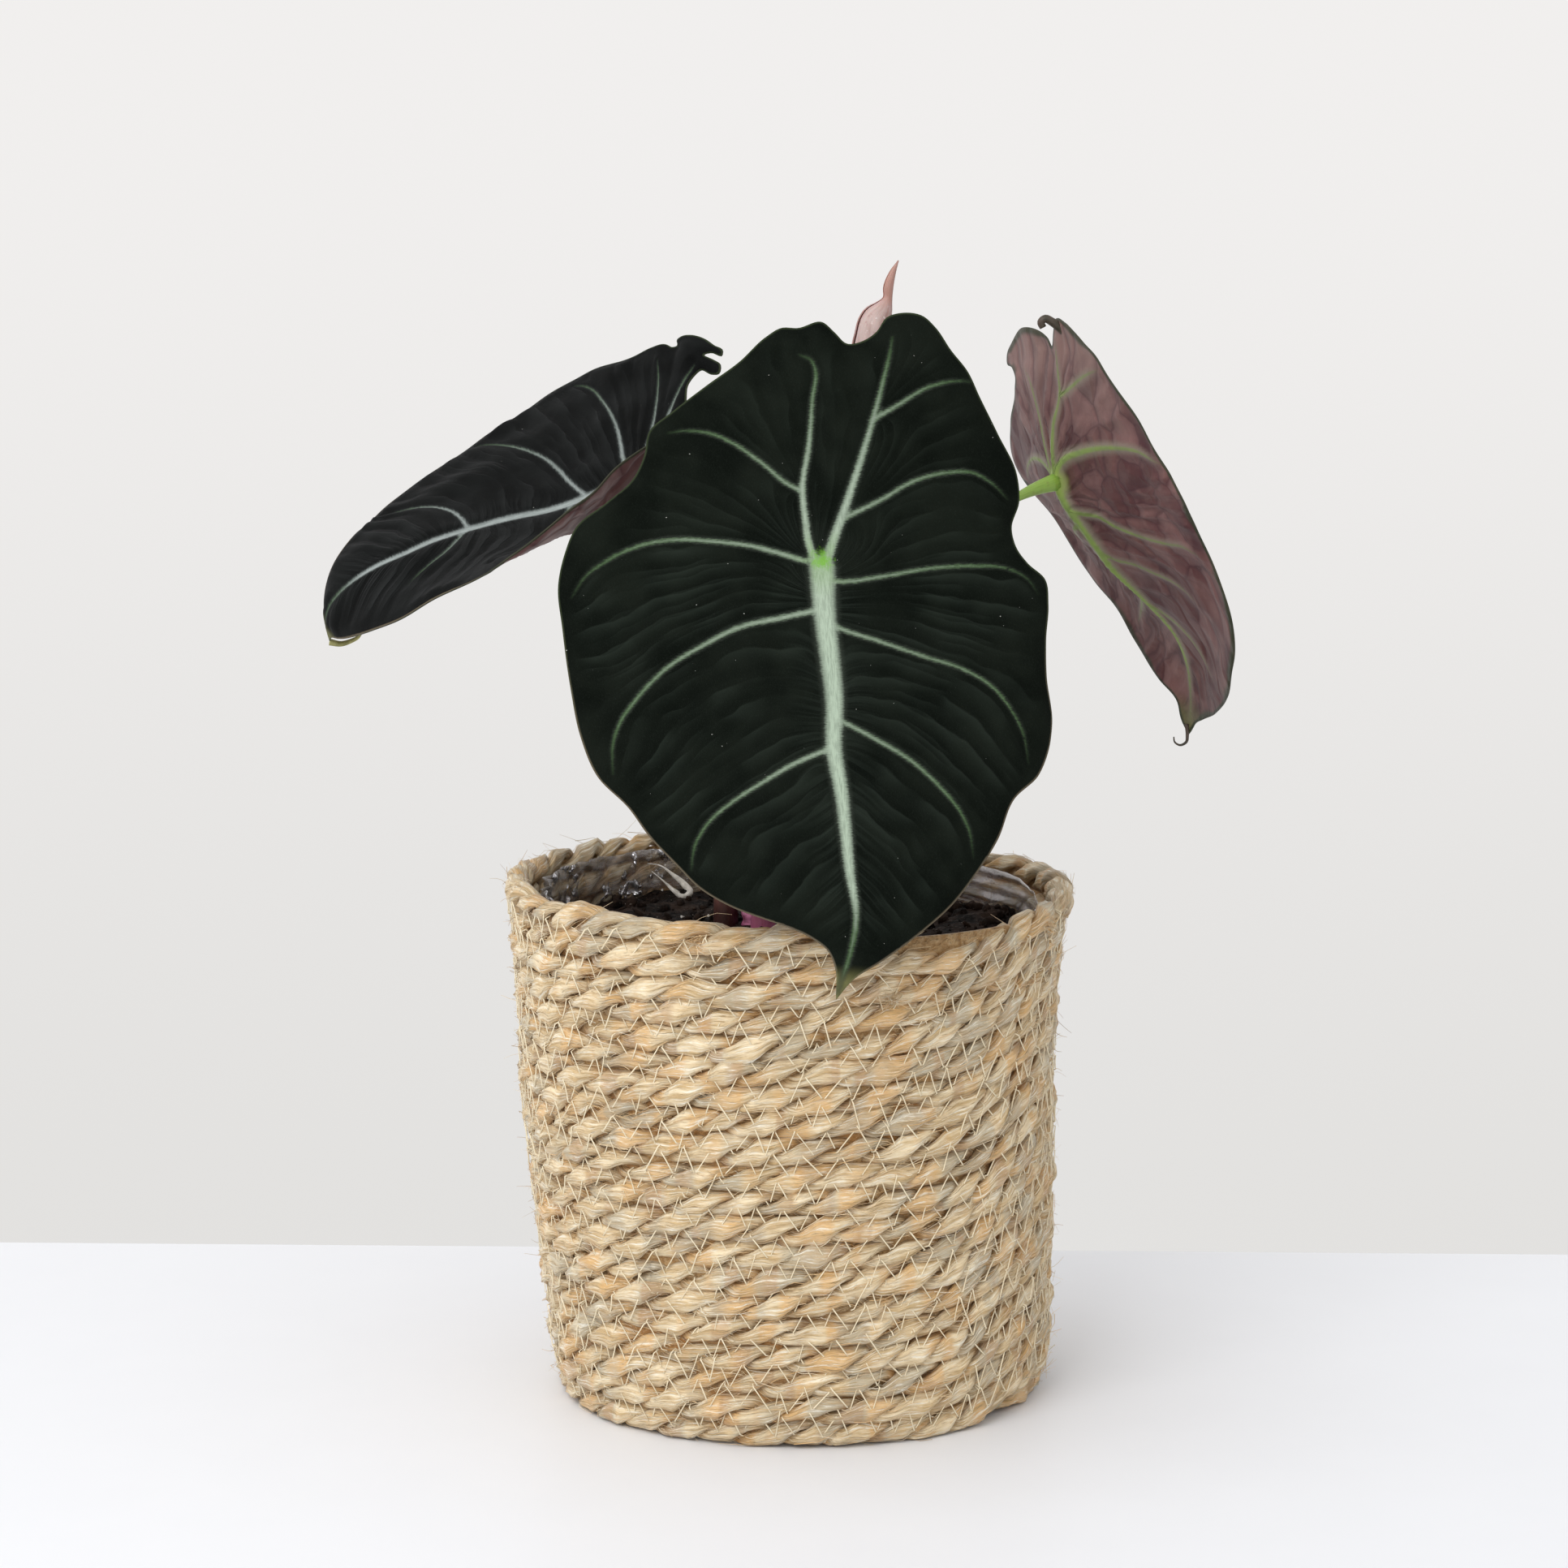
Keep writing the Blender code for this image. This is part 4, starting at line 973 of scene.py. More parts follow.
def rope_middle(coil):
    """The rope's middle: a flat spiral under the soil for coil below 0, then the wall's rows."""
    turn = coil + CLIMB_TURN
    height = np.where(coil < 0, WALL / 2, row_height(coil))
    first = wall_radius(ROW_PITCH / 2) - WALL / 2
    inwards = COIL_TUCK * smooth_step(np.abs(coil), 0.5, 0.0)
    radius = np.where(coil < 0, first + coil * ROW_PITCH, wall_radius(height) - WALL / 2) - inwards
    return on_wall(turn, radius, height)


def rope_frame(low, high, step):
    """Evenly spaced coil numbers, places, outward and upward ways, and lengths along the rope."""
    coil = np.linspace(COIL_START, COIL_END, COIL_SAMPLES)
    lengths = lengths_along(rope_middle(coil))
    first, last = np.interp((low, high), coil, lengths)
    along = np.linspace(first, last, int((last - first) / step))
    even = np.interp(along, lengths, coil)
    middle = rope_middle(even)
    turn = TURN * (even + CLIMB_TURN)
    out = np.stack([np.cos(turn), np.sin(turn), 0 * turn], 1)
    up = -unit(np.cross(np.gradient(middle, axis=0), out))
    up *= np.sign(up[:, 2:])
    return even, middle, out, up, along


def strand_surface(path, strand, sides):
    """Rings of one of the rope's two strands, and for each point its grain, its depth (how much painted
    shade it takes) and length.
    """
    coil, middle, out, up, along = path
    twist = TURN * (along / TWIST_PITCH + strand / 2) + 1.5 * lumps(along, 60 * MM, 12)
    twist = twist + 0.45 * lumps(along, 14 * MM, 18)
    cos, sin = np.cos(twist)[:, None], np.sin(twist)[:, None]
    flat = smooth_step(coil, 0.0, -FLAT_TURN)[:, None]
    sway = 0.45 * MM * lumps(along, 30 * MM, 11)
    rise = 0.9 * MM * lumps(middle, 15 * MM, 13) + 0.7 * MM * lumps(along, 9 * MM, 15 + strand)
    middle = middle + out * sway[:, None] + up * rise[:, None]
    off_out = STRAND_OFFSET_OUT + flat * (STRAND_OFFSET_UP - STRAND_OFFSET_OUT)
    off_up = STRAND_OFFSET_UP + flat * (STRAND_OFFSET_OUT - STRAND_OFFSET_UP)
    centre = middle + out * (off_out * cos) + up * (off_up * sin)
    across, round_way = out * cos + up * sin, up * cos - out * sin
    top_row = smooth_step(coil, COIL_END - 1.1, COIL_END - 0.9)
    girth = (1 + 0.26 * lumps(along + strand * 3.0, 13 * MM, 14)) * (1 - RIM_SLIM * top_row)
    girth = girth * (1 - END_SLIM * smooth_step(coil, COIL_END - 0.035, COIL_END))
    rings, grain = [], []
    for i in range(sides):
        start = TURN * i / sides
        angle = start - FIBRE_TWIST * twist
        bulge = girth * (1 + 0.17 * lumps(along + 7.3 * i, 11 * MM, 20 + i + 40 * strand))
        thin = STRAND_THIN * bulge * np.cos(angle)
        wide = (STRAND_WIDE + STRAND_FLAT * np.cos(twist) ** 2) * bulge * np.sin(angle)
        rings.append(centre + across * thin[:, None] + round_way * wide[:, None])
        grain.append(np.stack([
            along / MM * 0.07 + 200 * strand,
            np.full(len(along), 1.9 * math.cos(start)),
            np.full(len(along), 1.9 * math.sin(start)),
        ], 1))
    rings = np.stack(rings, 1)
    rings[..., 2] = REST_SOFTNESS * np.log1p(np.exp(rings[..., 2] / REST_SOFTNESS))
    outward, upward = (np.einsum("nsk,nk->ns", rings - middle[:, None], way) for way in (out, up))
    # depth: painted shade in the creases between strands and rows, left off the open top of the top row
    # and light in the base
    open_top = top_row[:, None] * smooth_step(upward, -0.5 * MM, 1.0 * MM)
    depth = smooth_step(np.abs(outward), 2.0 * MM, 0.3 * MM) * (1 - open_top)
    depth = depth + flat * (0.2 - depth)
    lengths = np.repeat(along / MM + 900 * strand, sides).reshape(-1, sides)
    return rings, {"fibre": np.stack(grain, 1), "depth": depth, "along": lengths}


def add_rope(name, low, high, step, sides, material):
    """A length of the two-strand rope; returns each strand's rings, outward ways and depths (shares of
    painted crease shade).
    """
    parts, strands, values = [], [], {"fibre": [], "depth": [], "along": []}
    path = rope_frame(low, high, step)
    for strand in (0, 1):
        rings, fields = strand_surface(path, strand, sides)
        parts.append(ring_mesh(rings))
        for label, field in fields.items():
            values[label] += [field.reshape(-1, *field.shape[2:]), field[[0, -1]].mean(1)]
        strands.append((rings, path[2], fields["depth"]))
    attributes = {label: np.concatenate(value) for label, value in values.items()}
    add_piece(name, join_parts(parts), [material], ["basket"], attributes=attributes)
    return strands


def add_rope_core(material):
    """Fibre packed in the middle of the wall, where it closes the seams between the rows."""
    turn = np.arange(CORE_SIDES) / CORE_SIDES
    heights = np.linspace(ROW_PITCH / 2, RIM_HEIGHT - 0.45 * ROW_PITCH, CORE_ROWS)
    rings = np.array([
        on_wall(turn, wall_radius(height) - depth, np.full(CORE_SIDES, height))
        for depth, order in zip(CORE_DEPTHS, (heights, heights[::-1])) for height in order
    ])
    points = rings.reshape(-1, 3)
    # the core lies deep between the rows, so it takes full painted shade (depth 1)
    values = {"fibre": points * 400, "along": points[:, 2] * 900, "depth": np.ones(len(points))}
    shape = points, [ring_quads(len(rings), CORE_SIDES, looped=True)]
    add_piece("rope_core", shape, [material], ["basket"], attributes=values)


def fibre_piece(name, paths, radii, material):
    """Many thin fibres as one piece, each with its own tone."""
    parts, tones = [], []
    for number, (path, radius) in enumerate(zip(paths, radii)):
        share = np.linspace(0, 1, len(path))
        parts.append(tube(path, radius * (1 - 0.6 * share), 3, ends=False))
        tones.append(np.full(len(path) * 3, float(number)))
    tone = np.concatenate(tones)
    values = {"fibre": np.repeat(tone[:, None] * 1.7, 3, 1), "along": tone * 11, "depth": 0 * tone}
    add_piece(name, join_parts(parts), [material], ["basket"], attributes=values)


def add_surface_fibres(strands, material):
    """Fibres that lie along the outer face of the strands and spring off at one end."""
    rng = np.random.default_rng(17)
    paths, radii = [], []
    count = 5
    rise = np.linspace(0, 1, count) ** 2
    while len(paths) < SURFACE_FIBRES:
        rings, out, depths = strands[rng.integers(len(strands))]
        reach = rng.integers(1, 4)
        first, side = rng.integers(len(rings) - 4 * reach), rng.integers(rings.shape[1])
        at = first + reach * np.arange(count)
        outward = ((rings[at, side] - rings[at].mean(1)) * out[at]).sum(1)
        # fibres start only where the painted crease shade is light, on the strands' outer faces
        if depths[at, side].min() > 0.5 or outward.max() < 0.4 * MM:
            continue
        spring = rng.exponential(0.5) * MM
        drift = rng.uniform(-1.2, 1.2) * MM
        lift = out[at] * (0.1 * MM + spring * rise)[:, None] + np.outer(rise, (0, 0, drift))
        path = rings[at, side] + lift
        paths.append(path if rng.random() < 0.5 else path[::-1])
        radii.append(rng.uniform(0.05, 0.10) * MM)
    fibre_piece("surface_fibres", paths, radii, material)


def add_stitches(material):
    """Zigzag thread that sews each row to the next, from the middle of one to the other's."""
    rng = np.random.default_rng(5)
    share = np.array((0.0, 0.1, 0.35, 0.65, 0.9, 1.0))
    bow = np.array((-1.2, 0.3, 0.15, 0.15, 0.3, -1.2)) * MM
    parts = []
    coil, upper = 0.02, False
    while coil < COIL_END - 1.0:
        step = STITCH_STEP * rng.uniform(0.55, 1.6) / WALL_GIRTH
        turns, heights = [], []
        for at, is_upper in ((coil, upper), (coil + step, not upper)):
            turns.append(at + CLIMB_TURN)
            heights.append(float(row_height(np.array(at + is_upper))) + rng.uniform(-1.0, 1.0) * MM)
        lift = bow + rng.uniform(-0.7, 0.35) * MM
        turn = turns[0] + (turns[1] - turns[0]) * share
        height = heights[0] + (heights[1] - heights[0]) * share
        path = on_wall(turn, wall_radius(height) + lift, height)
        parts.append(tube(path, STITCH_RADIUS * rng.uniform(0.8, 1.15), 3, ends=False))
        coil += step
        upper = not upper
    add_piece("stitches", join_parts(parts), [material], ["basket"])


def frayed_fibres(rng):
    """Paths of the short fibres that fan out of the rope's frayed ends."""
    paths = []
    share = np.linspace(0, 1, 5)
    for x, y, z, count, reach in FRAYED:
        middle = math.atan2(y, x) / TURN
        for _ in range(count):
            way = rng.uniform(0, TURN)
            far = rng.uniform(0.4, 1.0) * reach * MM
            aside = rng.normal(0, 0.6) * MM + far * math.cos(way) * share
            heights = z * MM + rng.normal(0, 0.5) * MM + 0.6 * far * math.sin(way) * share
            lift = (-0.6 + rng.uniform(0.8, 2.2) * np.sin(share * 2.6)) * MM
            paths.append(on_wall(middle + aside / WALL_GIRTH, wall_radius(heights) + lift, heights))
    return paths


def add_loose_fibres(material):
    """Stray fibres: most lie close to the wall, some stand off it, a few frayed ends fan out."""
    rng = np.random.default_rng(9)
    paths = []
    share = np.linspace(0, 1, 5)
    for _ in range(LOOSE_FIBRES):
        coil = rng.uniform(0, COIL_END)
        height = float(row_height(np.array(coil))) + rng.uniform(-2.4, 2.4) * MM
        reach = rng.uniform(3, 13) * MM
        stand = rng.exponential(0.9) * MM * (1 if rng.random() < 0.8 else 2.4)
        stand = min(stand, 4.5 * MM)
        way = rng.choice((-1, 1))
        rise = rng.uniform(-0.4, 0.7) * way
        bow = rng.uniform(-1, 1)
        turns = coil + CLIMB_TURN + way * reach * share / WALL_GIRTH
        heights = height + rise * reach * share * 0.6 + bow * 1.2 * MM * np.sin(share * math.pi)
        if coil > COIL_END - 1:
            heights = heights + 0.3 * reach * share**1.5
        heights = np.clip(heights, 0.4 * MM, BASKET_HEIGHT + 1.0 * MM)
        lift = -0.35 * MM + stand * share**1.5
        paths.append(on_wall(turns, wall_radius(heights) + lift, heights))
    paths += frayed_fibres(rng)
    fibre_piece("loose_fibres", paths, rng.uniform(0.045, 0.10, len(paths)) * MM, material)


def add_basket():
    jute = jute_finish()
    thread = mottled_finish("stitch_thread", 900.0, 2.0, ((0.76, 0.64, 0.43), (0.97, 0.88, 0.67)),
                            0.1 * MM, 0.5, Roughness=0.6)
    middle = -float(wall_radius(ROW_PITCH / 2) - WALL / 2) / ROW_PITCH
    add_rope("rope_base", middle + BASE_HOLE, 0.0, BASE_STEP, BASE_SIDES, jute)
    strands = []
    names = ("rope_lower", "rope_middle", "rope_upper")
    for name, low, high in zip(names, ROPE_CUTS, ROPE_CUTS[1:]):
        strands += add_rope(name, low, high, ROPE_STEP, STRAND_SIDES, jute)
    add_rope_core(jute)
    add_stitches(thread)
    add_surface_fibres(strands, jute)
    add_loose_fibres(jute)


# ================================================================ film and soil
def film_ring(turn, height, inset):
    """A ring of the bag at a height (mm): along the wall below the soil's top, wavy above it.

    The inner layer lies inset by the film's thickness, and its bottom's corner is raised by it.
    """
    circle = np.c_[circle_at(turn), 0 * turn] * 60 * MM
    wavy, uneven = lumps(circle, 16 * MM, 31), lumps(circle, 5 * MM, 32)
    creased, in_front = film_creases(turn), smooth_step(-np.sin(TURN * turn), 0.0, 0.45)
    free = smooth_step(height, *FILM_FREE)
    top = smooth_step(height, FILM_FREE[1], LINER_TOP)
    ridge, small = (
        1 - np.abs(lumps(circle + (0, 0, height * MM), size * MM, seed)) * 1.6
        for size, seed in ((3.5, 33), (1.8, 34))
    )
    pull = 1.0 + free * (0.6 + 0.9 * np.abs(wavy) + creased * (1.5 * ridge + 0.6 * small))
    pull = pull + top * 0.9 * creased
    pull = pull + free * (1 - creased) * 0.45 * np.sin(2.1 * height + 1.2 * wavy)
    at = height * MM + top * (0.9 * wavy + 0.5 * uneven - 2.8 * in_front) * MM
    if height == BAG_CORNER:
        at = at + inset
    return on_wall(turn, inner_radius(height * MM) - pull * MM - inset, at)


def film_creases(turn):
    """How crumpled the film is at each angle, from 0 to 1."""
    return np.maximum(smooth_step(np.cos(TURN * (turn - CRUMPLED_TURN)), 0.1, 0.7), CRUMPLED_LEAST)


def add_liner():
    """Bag of clear film: plain below the soil, wrinkled above it and crumpled at its back left."""
    turn = np.arange(FILM_SIDES) / FILM_SIDES
    heights = np.r_[BAG_CORNER, BAG_HEIGHTS, np.linspace(FILM_FREE[0], LINER_TOP, FREE_RINGS)]
    layers = []
    for inset in (0, FILM_THICKNESS):
        bottom = np.full(FILM_SIDES, BAG_BOTTOM * MM + inset)
        rings = [on_wall(turn, np.full(FILM_SIDES, 6 * MM), bottom)]
        rings += [film_ring(turn, height, inset) for height in heights]
        layers += rings if inset == 0 else rings[::-1]
    at = np.r_[0, heights]
    shown = smooth_step(at, FILM_FREE[0] - 2, FILM_FREE[0] + 1)
    near_edge = smooth_step(at, LINER_TOP - 0.9, LINER_TOP - 0.2)
    fields = {
        "crumpled": np.outer(shown, film_creases(turn)),
        "edge": np.outer(near_edge, np.ones(FILM_SIDES)),
    }
    values = {label: np.r_[field.ravel(), field[::-1].ravel(), 0, 0] for label, field in fields.items()}
    shape = ring_mesh(np.array(layers))
    add_piece("film_liner", shape, [film_finish()], ["liner"], attributes=values)
    loop = route(np.array(FILM_FOLD) * MM, 60)
    thick = 0.12 + 0.75 * np.sin(np.linspace(0, math.pi, len(loop))) ** 3
    add_piece("film_fold", tube(loop, thick * MM, 8), [fold_finish()], ["liner"])


def crumb(rng, size, detail):
    """A small broken lump, about its own middle."""
    mesh = bmesh.new()
    bmesh.ops.create_icosphere(mesh, subdivisions=detail, radius=1)
    points = np.array([v.co for v in mesh.verts])
    faces = np.array([[v.index for v in f.verts] for f in mesh.faces])
    mesh.free()
    points *= 1 + 0.55 * lumps(points + rng.uniform(0, 30), 0.8, 41)[:, None]
    points *= rng.uniform(0.5, 1.2, 3)
    turn = Matrix.Rotation(rng.uniform(0, TURN), 3, Vector(rng.normal(size=3)))
    return points @ np.array(turn).T * size, [faces]


def soil_height(places):
    """Height of the bumpy top of the soil, a little mounded at the crown, at places (x, y)."""
    at = np.c_[places, np.zeros(len(places))]
    bumps = sum(high * lumps(at, wide * MM, seed) for high, wide, seed in SOIL_LUMPS)
    near = np.linalg.norm(places - CROWN[:2], axis=1)
    return SOIL_TOP + bumps * MM + MOUND_HEIGHT * np.exp(-((near / MOUND_WIDTH) ** 2))


def soil_ring(radius, height):
    turn = np.arange(SOIL_SIDES) / SOIL_SIDES
    return on_wall(turn, np.full(SOIL_SIDES, float(radius)), np.full(SOIL_SIDES, height))


def add_crumbs(name, rng, amount, sizes, radius, material):
    """Crumbs strewn over the soil, more of them small than large; sizes bounds each one's draw."""
    parts = []
    for _ in range(amount):
        out = radius * math.sqrt(rng.uniform(0, 0.97))
        angle = rng.uniform(0, TURN)
        place = np.array((out * math.cos(angle) + float(wall_shift(SOIL_TOP)), out * math.sin(angle)))
        size = rng.uniform(*sizes) ** 1.5 * MM * 0.8
        shape, faces = crumb(rng, size, 2 if size > 1.2 * MM else 1)
        centre = np.array((*place, float(soil_height(place[None])[0]) + 0.25 * size))
        parts.append((shape + centre, faces))
    add_piece(name, join_parts(parts), [material], ["soil"])


def add_soil():
    rng = np.random.default_rng(61)
    radius = inner_radius(SOIL_TOP) - SOIL_GAP
    rings = [soil_ring(inner_radius(h * MM) - SOIL_GAP, h * MM) for h in SOIL_HEIGHTS]
    for share in np.linspace(1, 0.03, SOIL_RINGS):
        ring = soil_ring(radius * share, SOIL_TOP)
        ring[:, 2] = soil_height(ring[:, :2])
        rings.append(ring)
    dark = soil_finish()
    perlite = mottled_finish("perlite", 1600.0, 3.0, ((0.45, 0.42, 0.38), (0.78, 0.76, 0.72)),
                             0.4 * MM, 0.8, Roughness=0.85)
    add_piece("soil_bed", ring_mesh(np.array(rings)), [dark], ["soil"])
    add_crumbs("soil_crumbs", rng, 800, (0.4, 1.7), radius, dark)
    add_crumbs("perlite_crumbs", rng, 70, (0.25, 0.7), radius, perlite)


# ================================================================ leaves
class Blade:
    """The middle surface of a leaf: (across, along) in its flat outline to a place in space."""

    def __init__(self, leaf):
        self.stem_point = np.array(leaf["stem_point"]) * MM
        self.length = leaf["length"] * MM
        self.tip_way = unit(np.array(leaf["tip_way"]))
        face = np.array(leaf["face_way"])
        self.face_way = unit(face - self.tip_way * (face @ self.tip_way))
        self.right_way = np.cross(self.face_way, self.tip_way)
        self.leaf = leaf
        self.steps = np.linspace(*MIDRIB_REACH, MIDRIB_PLACES)
        ways = self.midrib_way(self.steps)
        travel = (ways[1:] + ways[:-1]) / 2 * (self.steps[1] - self.steps[0]) * self.length
        points = np.vstack([np.zeros(3), np.cumsum(travel, axis=0)])
        start = np.array([np.interp(0, self.steps, points[:, k]) for k in range(3)])
        self.midrib = points - start + self.stem_point

    def angle(self, name, at):
        return curve_through(STATIONS, np.radians(self.leaf[name]), at)

    def midrib_way(self, at):
        bend, sideways = self.angle("bend", at), self.angle("sideways", at)
        return (
            (np.cos(bend) * np.cos(sideways))[..., None] * self.tip_way
            - np.sin(bend)[..., None] * self.face_way
            + (np.cos(bend) * np.sin(sideways))[..., None] * self.right_way
        )

    def places(self, across, along):
        at = -along / self.length
        ridge = np.stack([np.interp(at, self.steps, self.midrib[:, k]) for k in range(3)], -1)
        way = self.midrib_way(at)
        side = unit(np.cross(np.broadcast_to(self.face_way, way.shape), way))
        up = np.cross(way, side)
        right = smooth_step(across, -2.5 * MM, 2.5 * MM)
        rise = right * self.angle("rise_right", at) - (1 - right) * self.angle("rise_left", at)
        rise = rise * np.where(across > 0, 1, -1)
        curls = (curve_through(STATIONS, self.leaf[name], at) for name in ("curl_right", "curl_left"))
        curl = np.where(across > 0, *curls)
        curl = np.where(np.abs(curl) < 0.001, 0.001, curl) / self.length
        reach = np.abs(across)
        out = (np.sin(rise + curl * reach) - np.sin(rise)) / curl
        high = (np.cos(rise) - np.cos(rise + curl * reach)) / curl
        return ridge + side * (out * np.sign(across))[..., None] + up * high[..., None]

    def under_way(self):
        """The way that the under face looks at the stem point."""
        near = 3 * MM
        left, right, front, back = self.places(
            np.array((-near, near, 0, 0)), np.array((0, 0, -near, near))
        )
        return -unit(np.cross(front - back, right - left))


def closed_curve(corners, spacing, sharp):
    """Evenly spaced points round a smooth closed curve, with one sharp corner kept."""
    corners = np.roll(corners, -sharp, axis=0)
    closed = np.vstack([corners, corners[:1]])
    return route(closed, int(length_of(closed) / spacing))[:-1]


def flat_distance(points, lines):
    """Distance from each point to the nearest sample, and that sample's number."""
    tree = kdtree.KDTree(len(lines))
    for i, (x, y) in enumerate(lines):
        tree.insert((x, y, 0), i)
    tree.balance()
    found = [tree.find((x, y, 0)) for x, y in points]
    return np.array([f[2] for f in found]), np.array([f[1] for f in found])


def vein_lines(leaf):
    """For each vein: points along it, and its half width (m) and how pale it is at each."""
    lines = []
    for number, (start, end, pale, *corners) in enumerate(leaf["veins"]):
        corners = np.array(corners, float)
        path = route(corners, max(8, int(length_of(corners) / 0.3)))
        share = np.linspace(0, 1, len(path))
        taper, fade = 1 - share, 1 - 0.92 * share**1.8
        if number == 0:
            taper = np.interp(share, MIDRIB_SHARES, MIDRIB_TAPER)
            fade = 1 - 0.8 * smooth_step(share, 0.70, 0.90)
        lines.append((path * MM, (end + (start - end) * taper) * MM, pale * fade))
    return lines


def vein_field(veins, found):
    """How far each point lies beyond the nearest vein's edge, and that vein's width and paleness."""
    field = None
    for (_, widths, pales), (distance, nearest) in zip(veins, found):
        new = np.stack([distance - widths[nearest], widths[nearest], pales[nearest]])
        if field is None:
            field = new
            continue
        share = np.clip(0.5 + 0.5 * (field[0] - new[0]) / VEIN_BLEND, 0, 1)
        field = field + (new - field) * share
        field[0] -= VEIN_BLEND * share * (1 - share)
    return field


def edges_of(faces):
    """The edges of triangles, as pairs of corners in the order that each triangle runs."""
    return np.vstack([faces[:, [0, 1]], faces[:, [1, 2]], faces[:, [2, 0]]])


def fold_field(flat, faces, veins, found, half):
    """A smooth field (mm) over the blade; its level lines fan out between one half's side veins."""
    sides = [i for i in range(1, len(veins)) if veins[i][0][-1, 0] * half > 0]
    ends = {i: veins[i][0][-1] for i in sides}
    sides.sort(key=lambda i: math.atan2(abs(ends[i][0]), -ends[i][1]))
    middles = np.array([veins[0][0][-1]] + [veins[i][0][int(0.6 * len(veins[i][0]))] for i in sides])
    numbers = lengths_along(middles)[1:] / MM
    near = np.array([found[i][0] for i in sides])
    weight = 1 / (near + 0.2 * MM) ** 2
    field = (weight * numbers[:, None]).sum(0) / weight.sum(0)
    held = near.min(0) < 0.5 * VEIN_STEP
    values = numbers[near.argmin(0)]
    lowest = veins[sides[0]][0][0, 1]
    below = (lowest - flat[:, 1]) / (lowest - flat[:, 1].min())
    on_rib = (found[0][0] < 0.5 * VEIN_STEP) & (below > 0.12)
    held |= on_rib
    values = np.where(on_rib, numbers[0] * (1 - below), values)
    one, other = edges_of(faces).T
    one, other = np.concatenate([one, other]), np.concatenate([other, one])
    neighbours = np.bincount(one, minlength=len(flat))
    last = field
    for _ in range(FOLD_ROUNDS):
        mean = np.bincount(one, weights=field[other], minlength=len(flat)) / neighbours
        moved = mean + FOLD_SPEED * (field - last)
        moved[held] = values[held]
        last, field = field, moved
    return field


def flat_mesh(outline, lines):
    """Points and triangles of the flat blade: an even net, with points set along the veins."""
    spacing = LEAF_SPACING
    low, high = outline.min(0), outline.max(0)
    columns = np.arange(low[0], high[0] + spacing, spacing)
    rows = np.arange(low[1], high[1], spacing * math.sqrt(3) / 2)
    net = np.array([(x + spacing / 2 * (i % 2), y) for i, y in enumerate(rows) for x in columns])
    off_line, _ = flat_distance(net, lines)
    inner = np.vstack([net[off_line > 0.5 * spacing], lines])
    off_edge, _ = flat_distance(inner, outline)
    inner = inner[off_edge > 0.55 * spacing]
    points = [Vector(p) for p in np.vstack([outline, inner])]
    flat, _, faces, *_ = delaunay_2d_cdt(points, [], [list(range(len(outline)))], 1, 1e-7)
    used = sorted({i for f in faces for i in f})
    renumbered = np.zeros(len(flat), int)
    renumbered[used] = range(len(used))
    return np.array([tuple(flat[i]) for i in used]), renumbered[np.array(faces)]


def thinned(points, spacing):
    """The points, less those that lie within spacing of one kept before."""
    kept, cells = [], {}
    for point in points:
        column, row = int(point[0] // spacing), int(point[1] // spacing)
        around_it = itertools.product(range(column - 1, column + 2), range(row - 1, row + 2))
        near = [q for cell in around_it for q in cells.get(cell, ())]
        if all((point[0] - q[0]) ** 2 + (point[1] - q[1]) ** 2 > spacing**2 for q in near):
            kept.append(point)
            cells.setdefault((column, row), []).append(point)
    return np.array(kept)


def surface_normals(points, faces):
    normals = np.zeros_like(points)
    one, two, three = (points[faces[:, k]] for k in range(3))
    cross = np.cross(two - one, three - one)
    for k in range(3):
        np.add.at(normals, faces[:, k], cross)
    return unit(normals)


def border_of(faces, count):
    """The edges that only one triangle has."""
    one, other = edges_of(faces).astype(np.int64).T
    outer = ~np.isin(one * count + other, other * count + one)
    return one[outer], other[outer]


def blade_relief(solid, seed, beyond, width, margin, folds):
    """How far the blade's upper and lower faces stand off its middle surface at each point."""
    distance = np.maximum(0, beyond + width)
    inside = smooth_step(margin, 0, MARGIN)
    away = smooth_step(beyond, 0, 3 * MM) * inside
    lines = np.abs(np.sin(math.pi * folds / FOLD_STEP))
    uneven = np.clip(0.85 + 0.8 * lumps(solid, 14 * MM, seed + 3), 0.2, 1.6)
    puff = 0.5 * MM * away * uneven * lines**0.6
    puff += 0.7 * MM * away * lumps(solid, 8 * MM, seed + 1)
    wave = 0.7 * MM * lumps(solid, 11 * MM, seed + 2) * smooth_step(margin, 10 * MM, 0)
    groove = -0.22 * MM * np.exp(-((distance / (0.9 * width)) ** 2)) * inside
    thick = EDGE_THICKNESS + (LEAF_THICKNESS - EDGE_THICKNESS) * inside
    rib_width = 1.3 * width
    rib = np.sqrt(np.clip(1 - (distance / rib_width) ** 2, 0, 1)) * 0.6 * rib_width
    rib = rib * smooth_step(margin, 0, 4 * MM)
    lift = puff + wave
    return lift + groove + thick / 2, lift - thick / 2 - rib


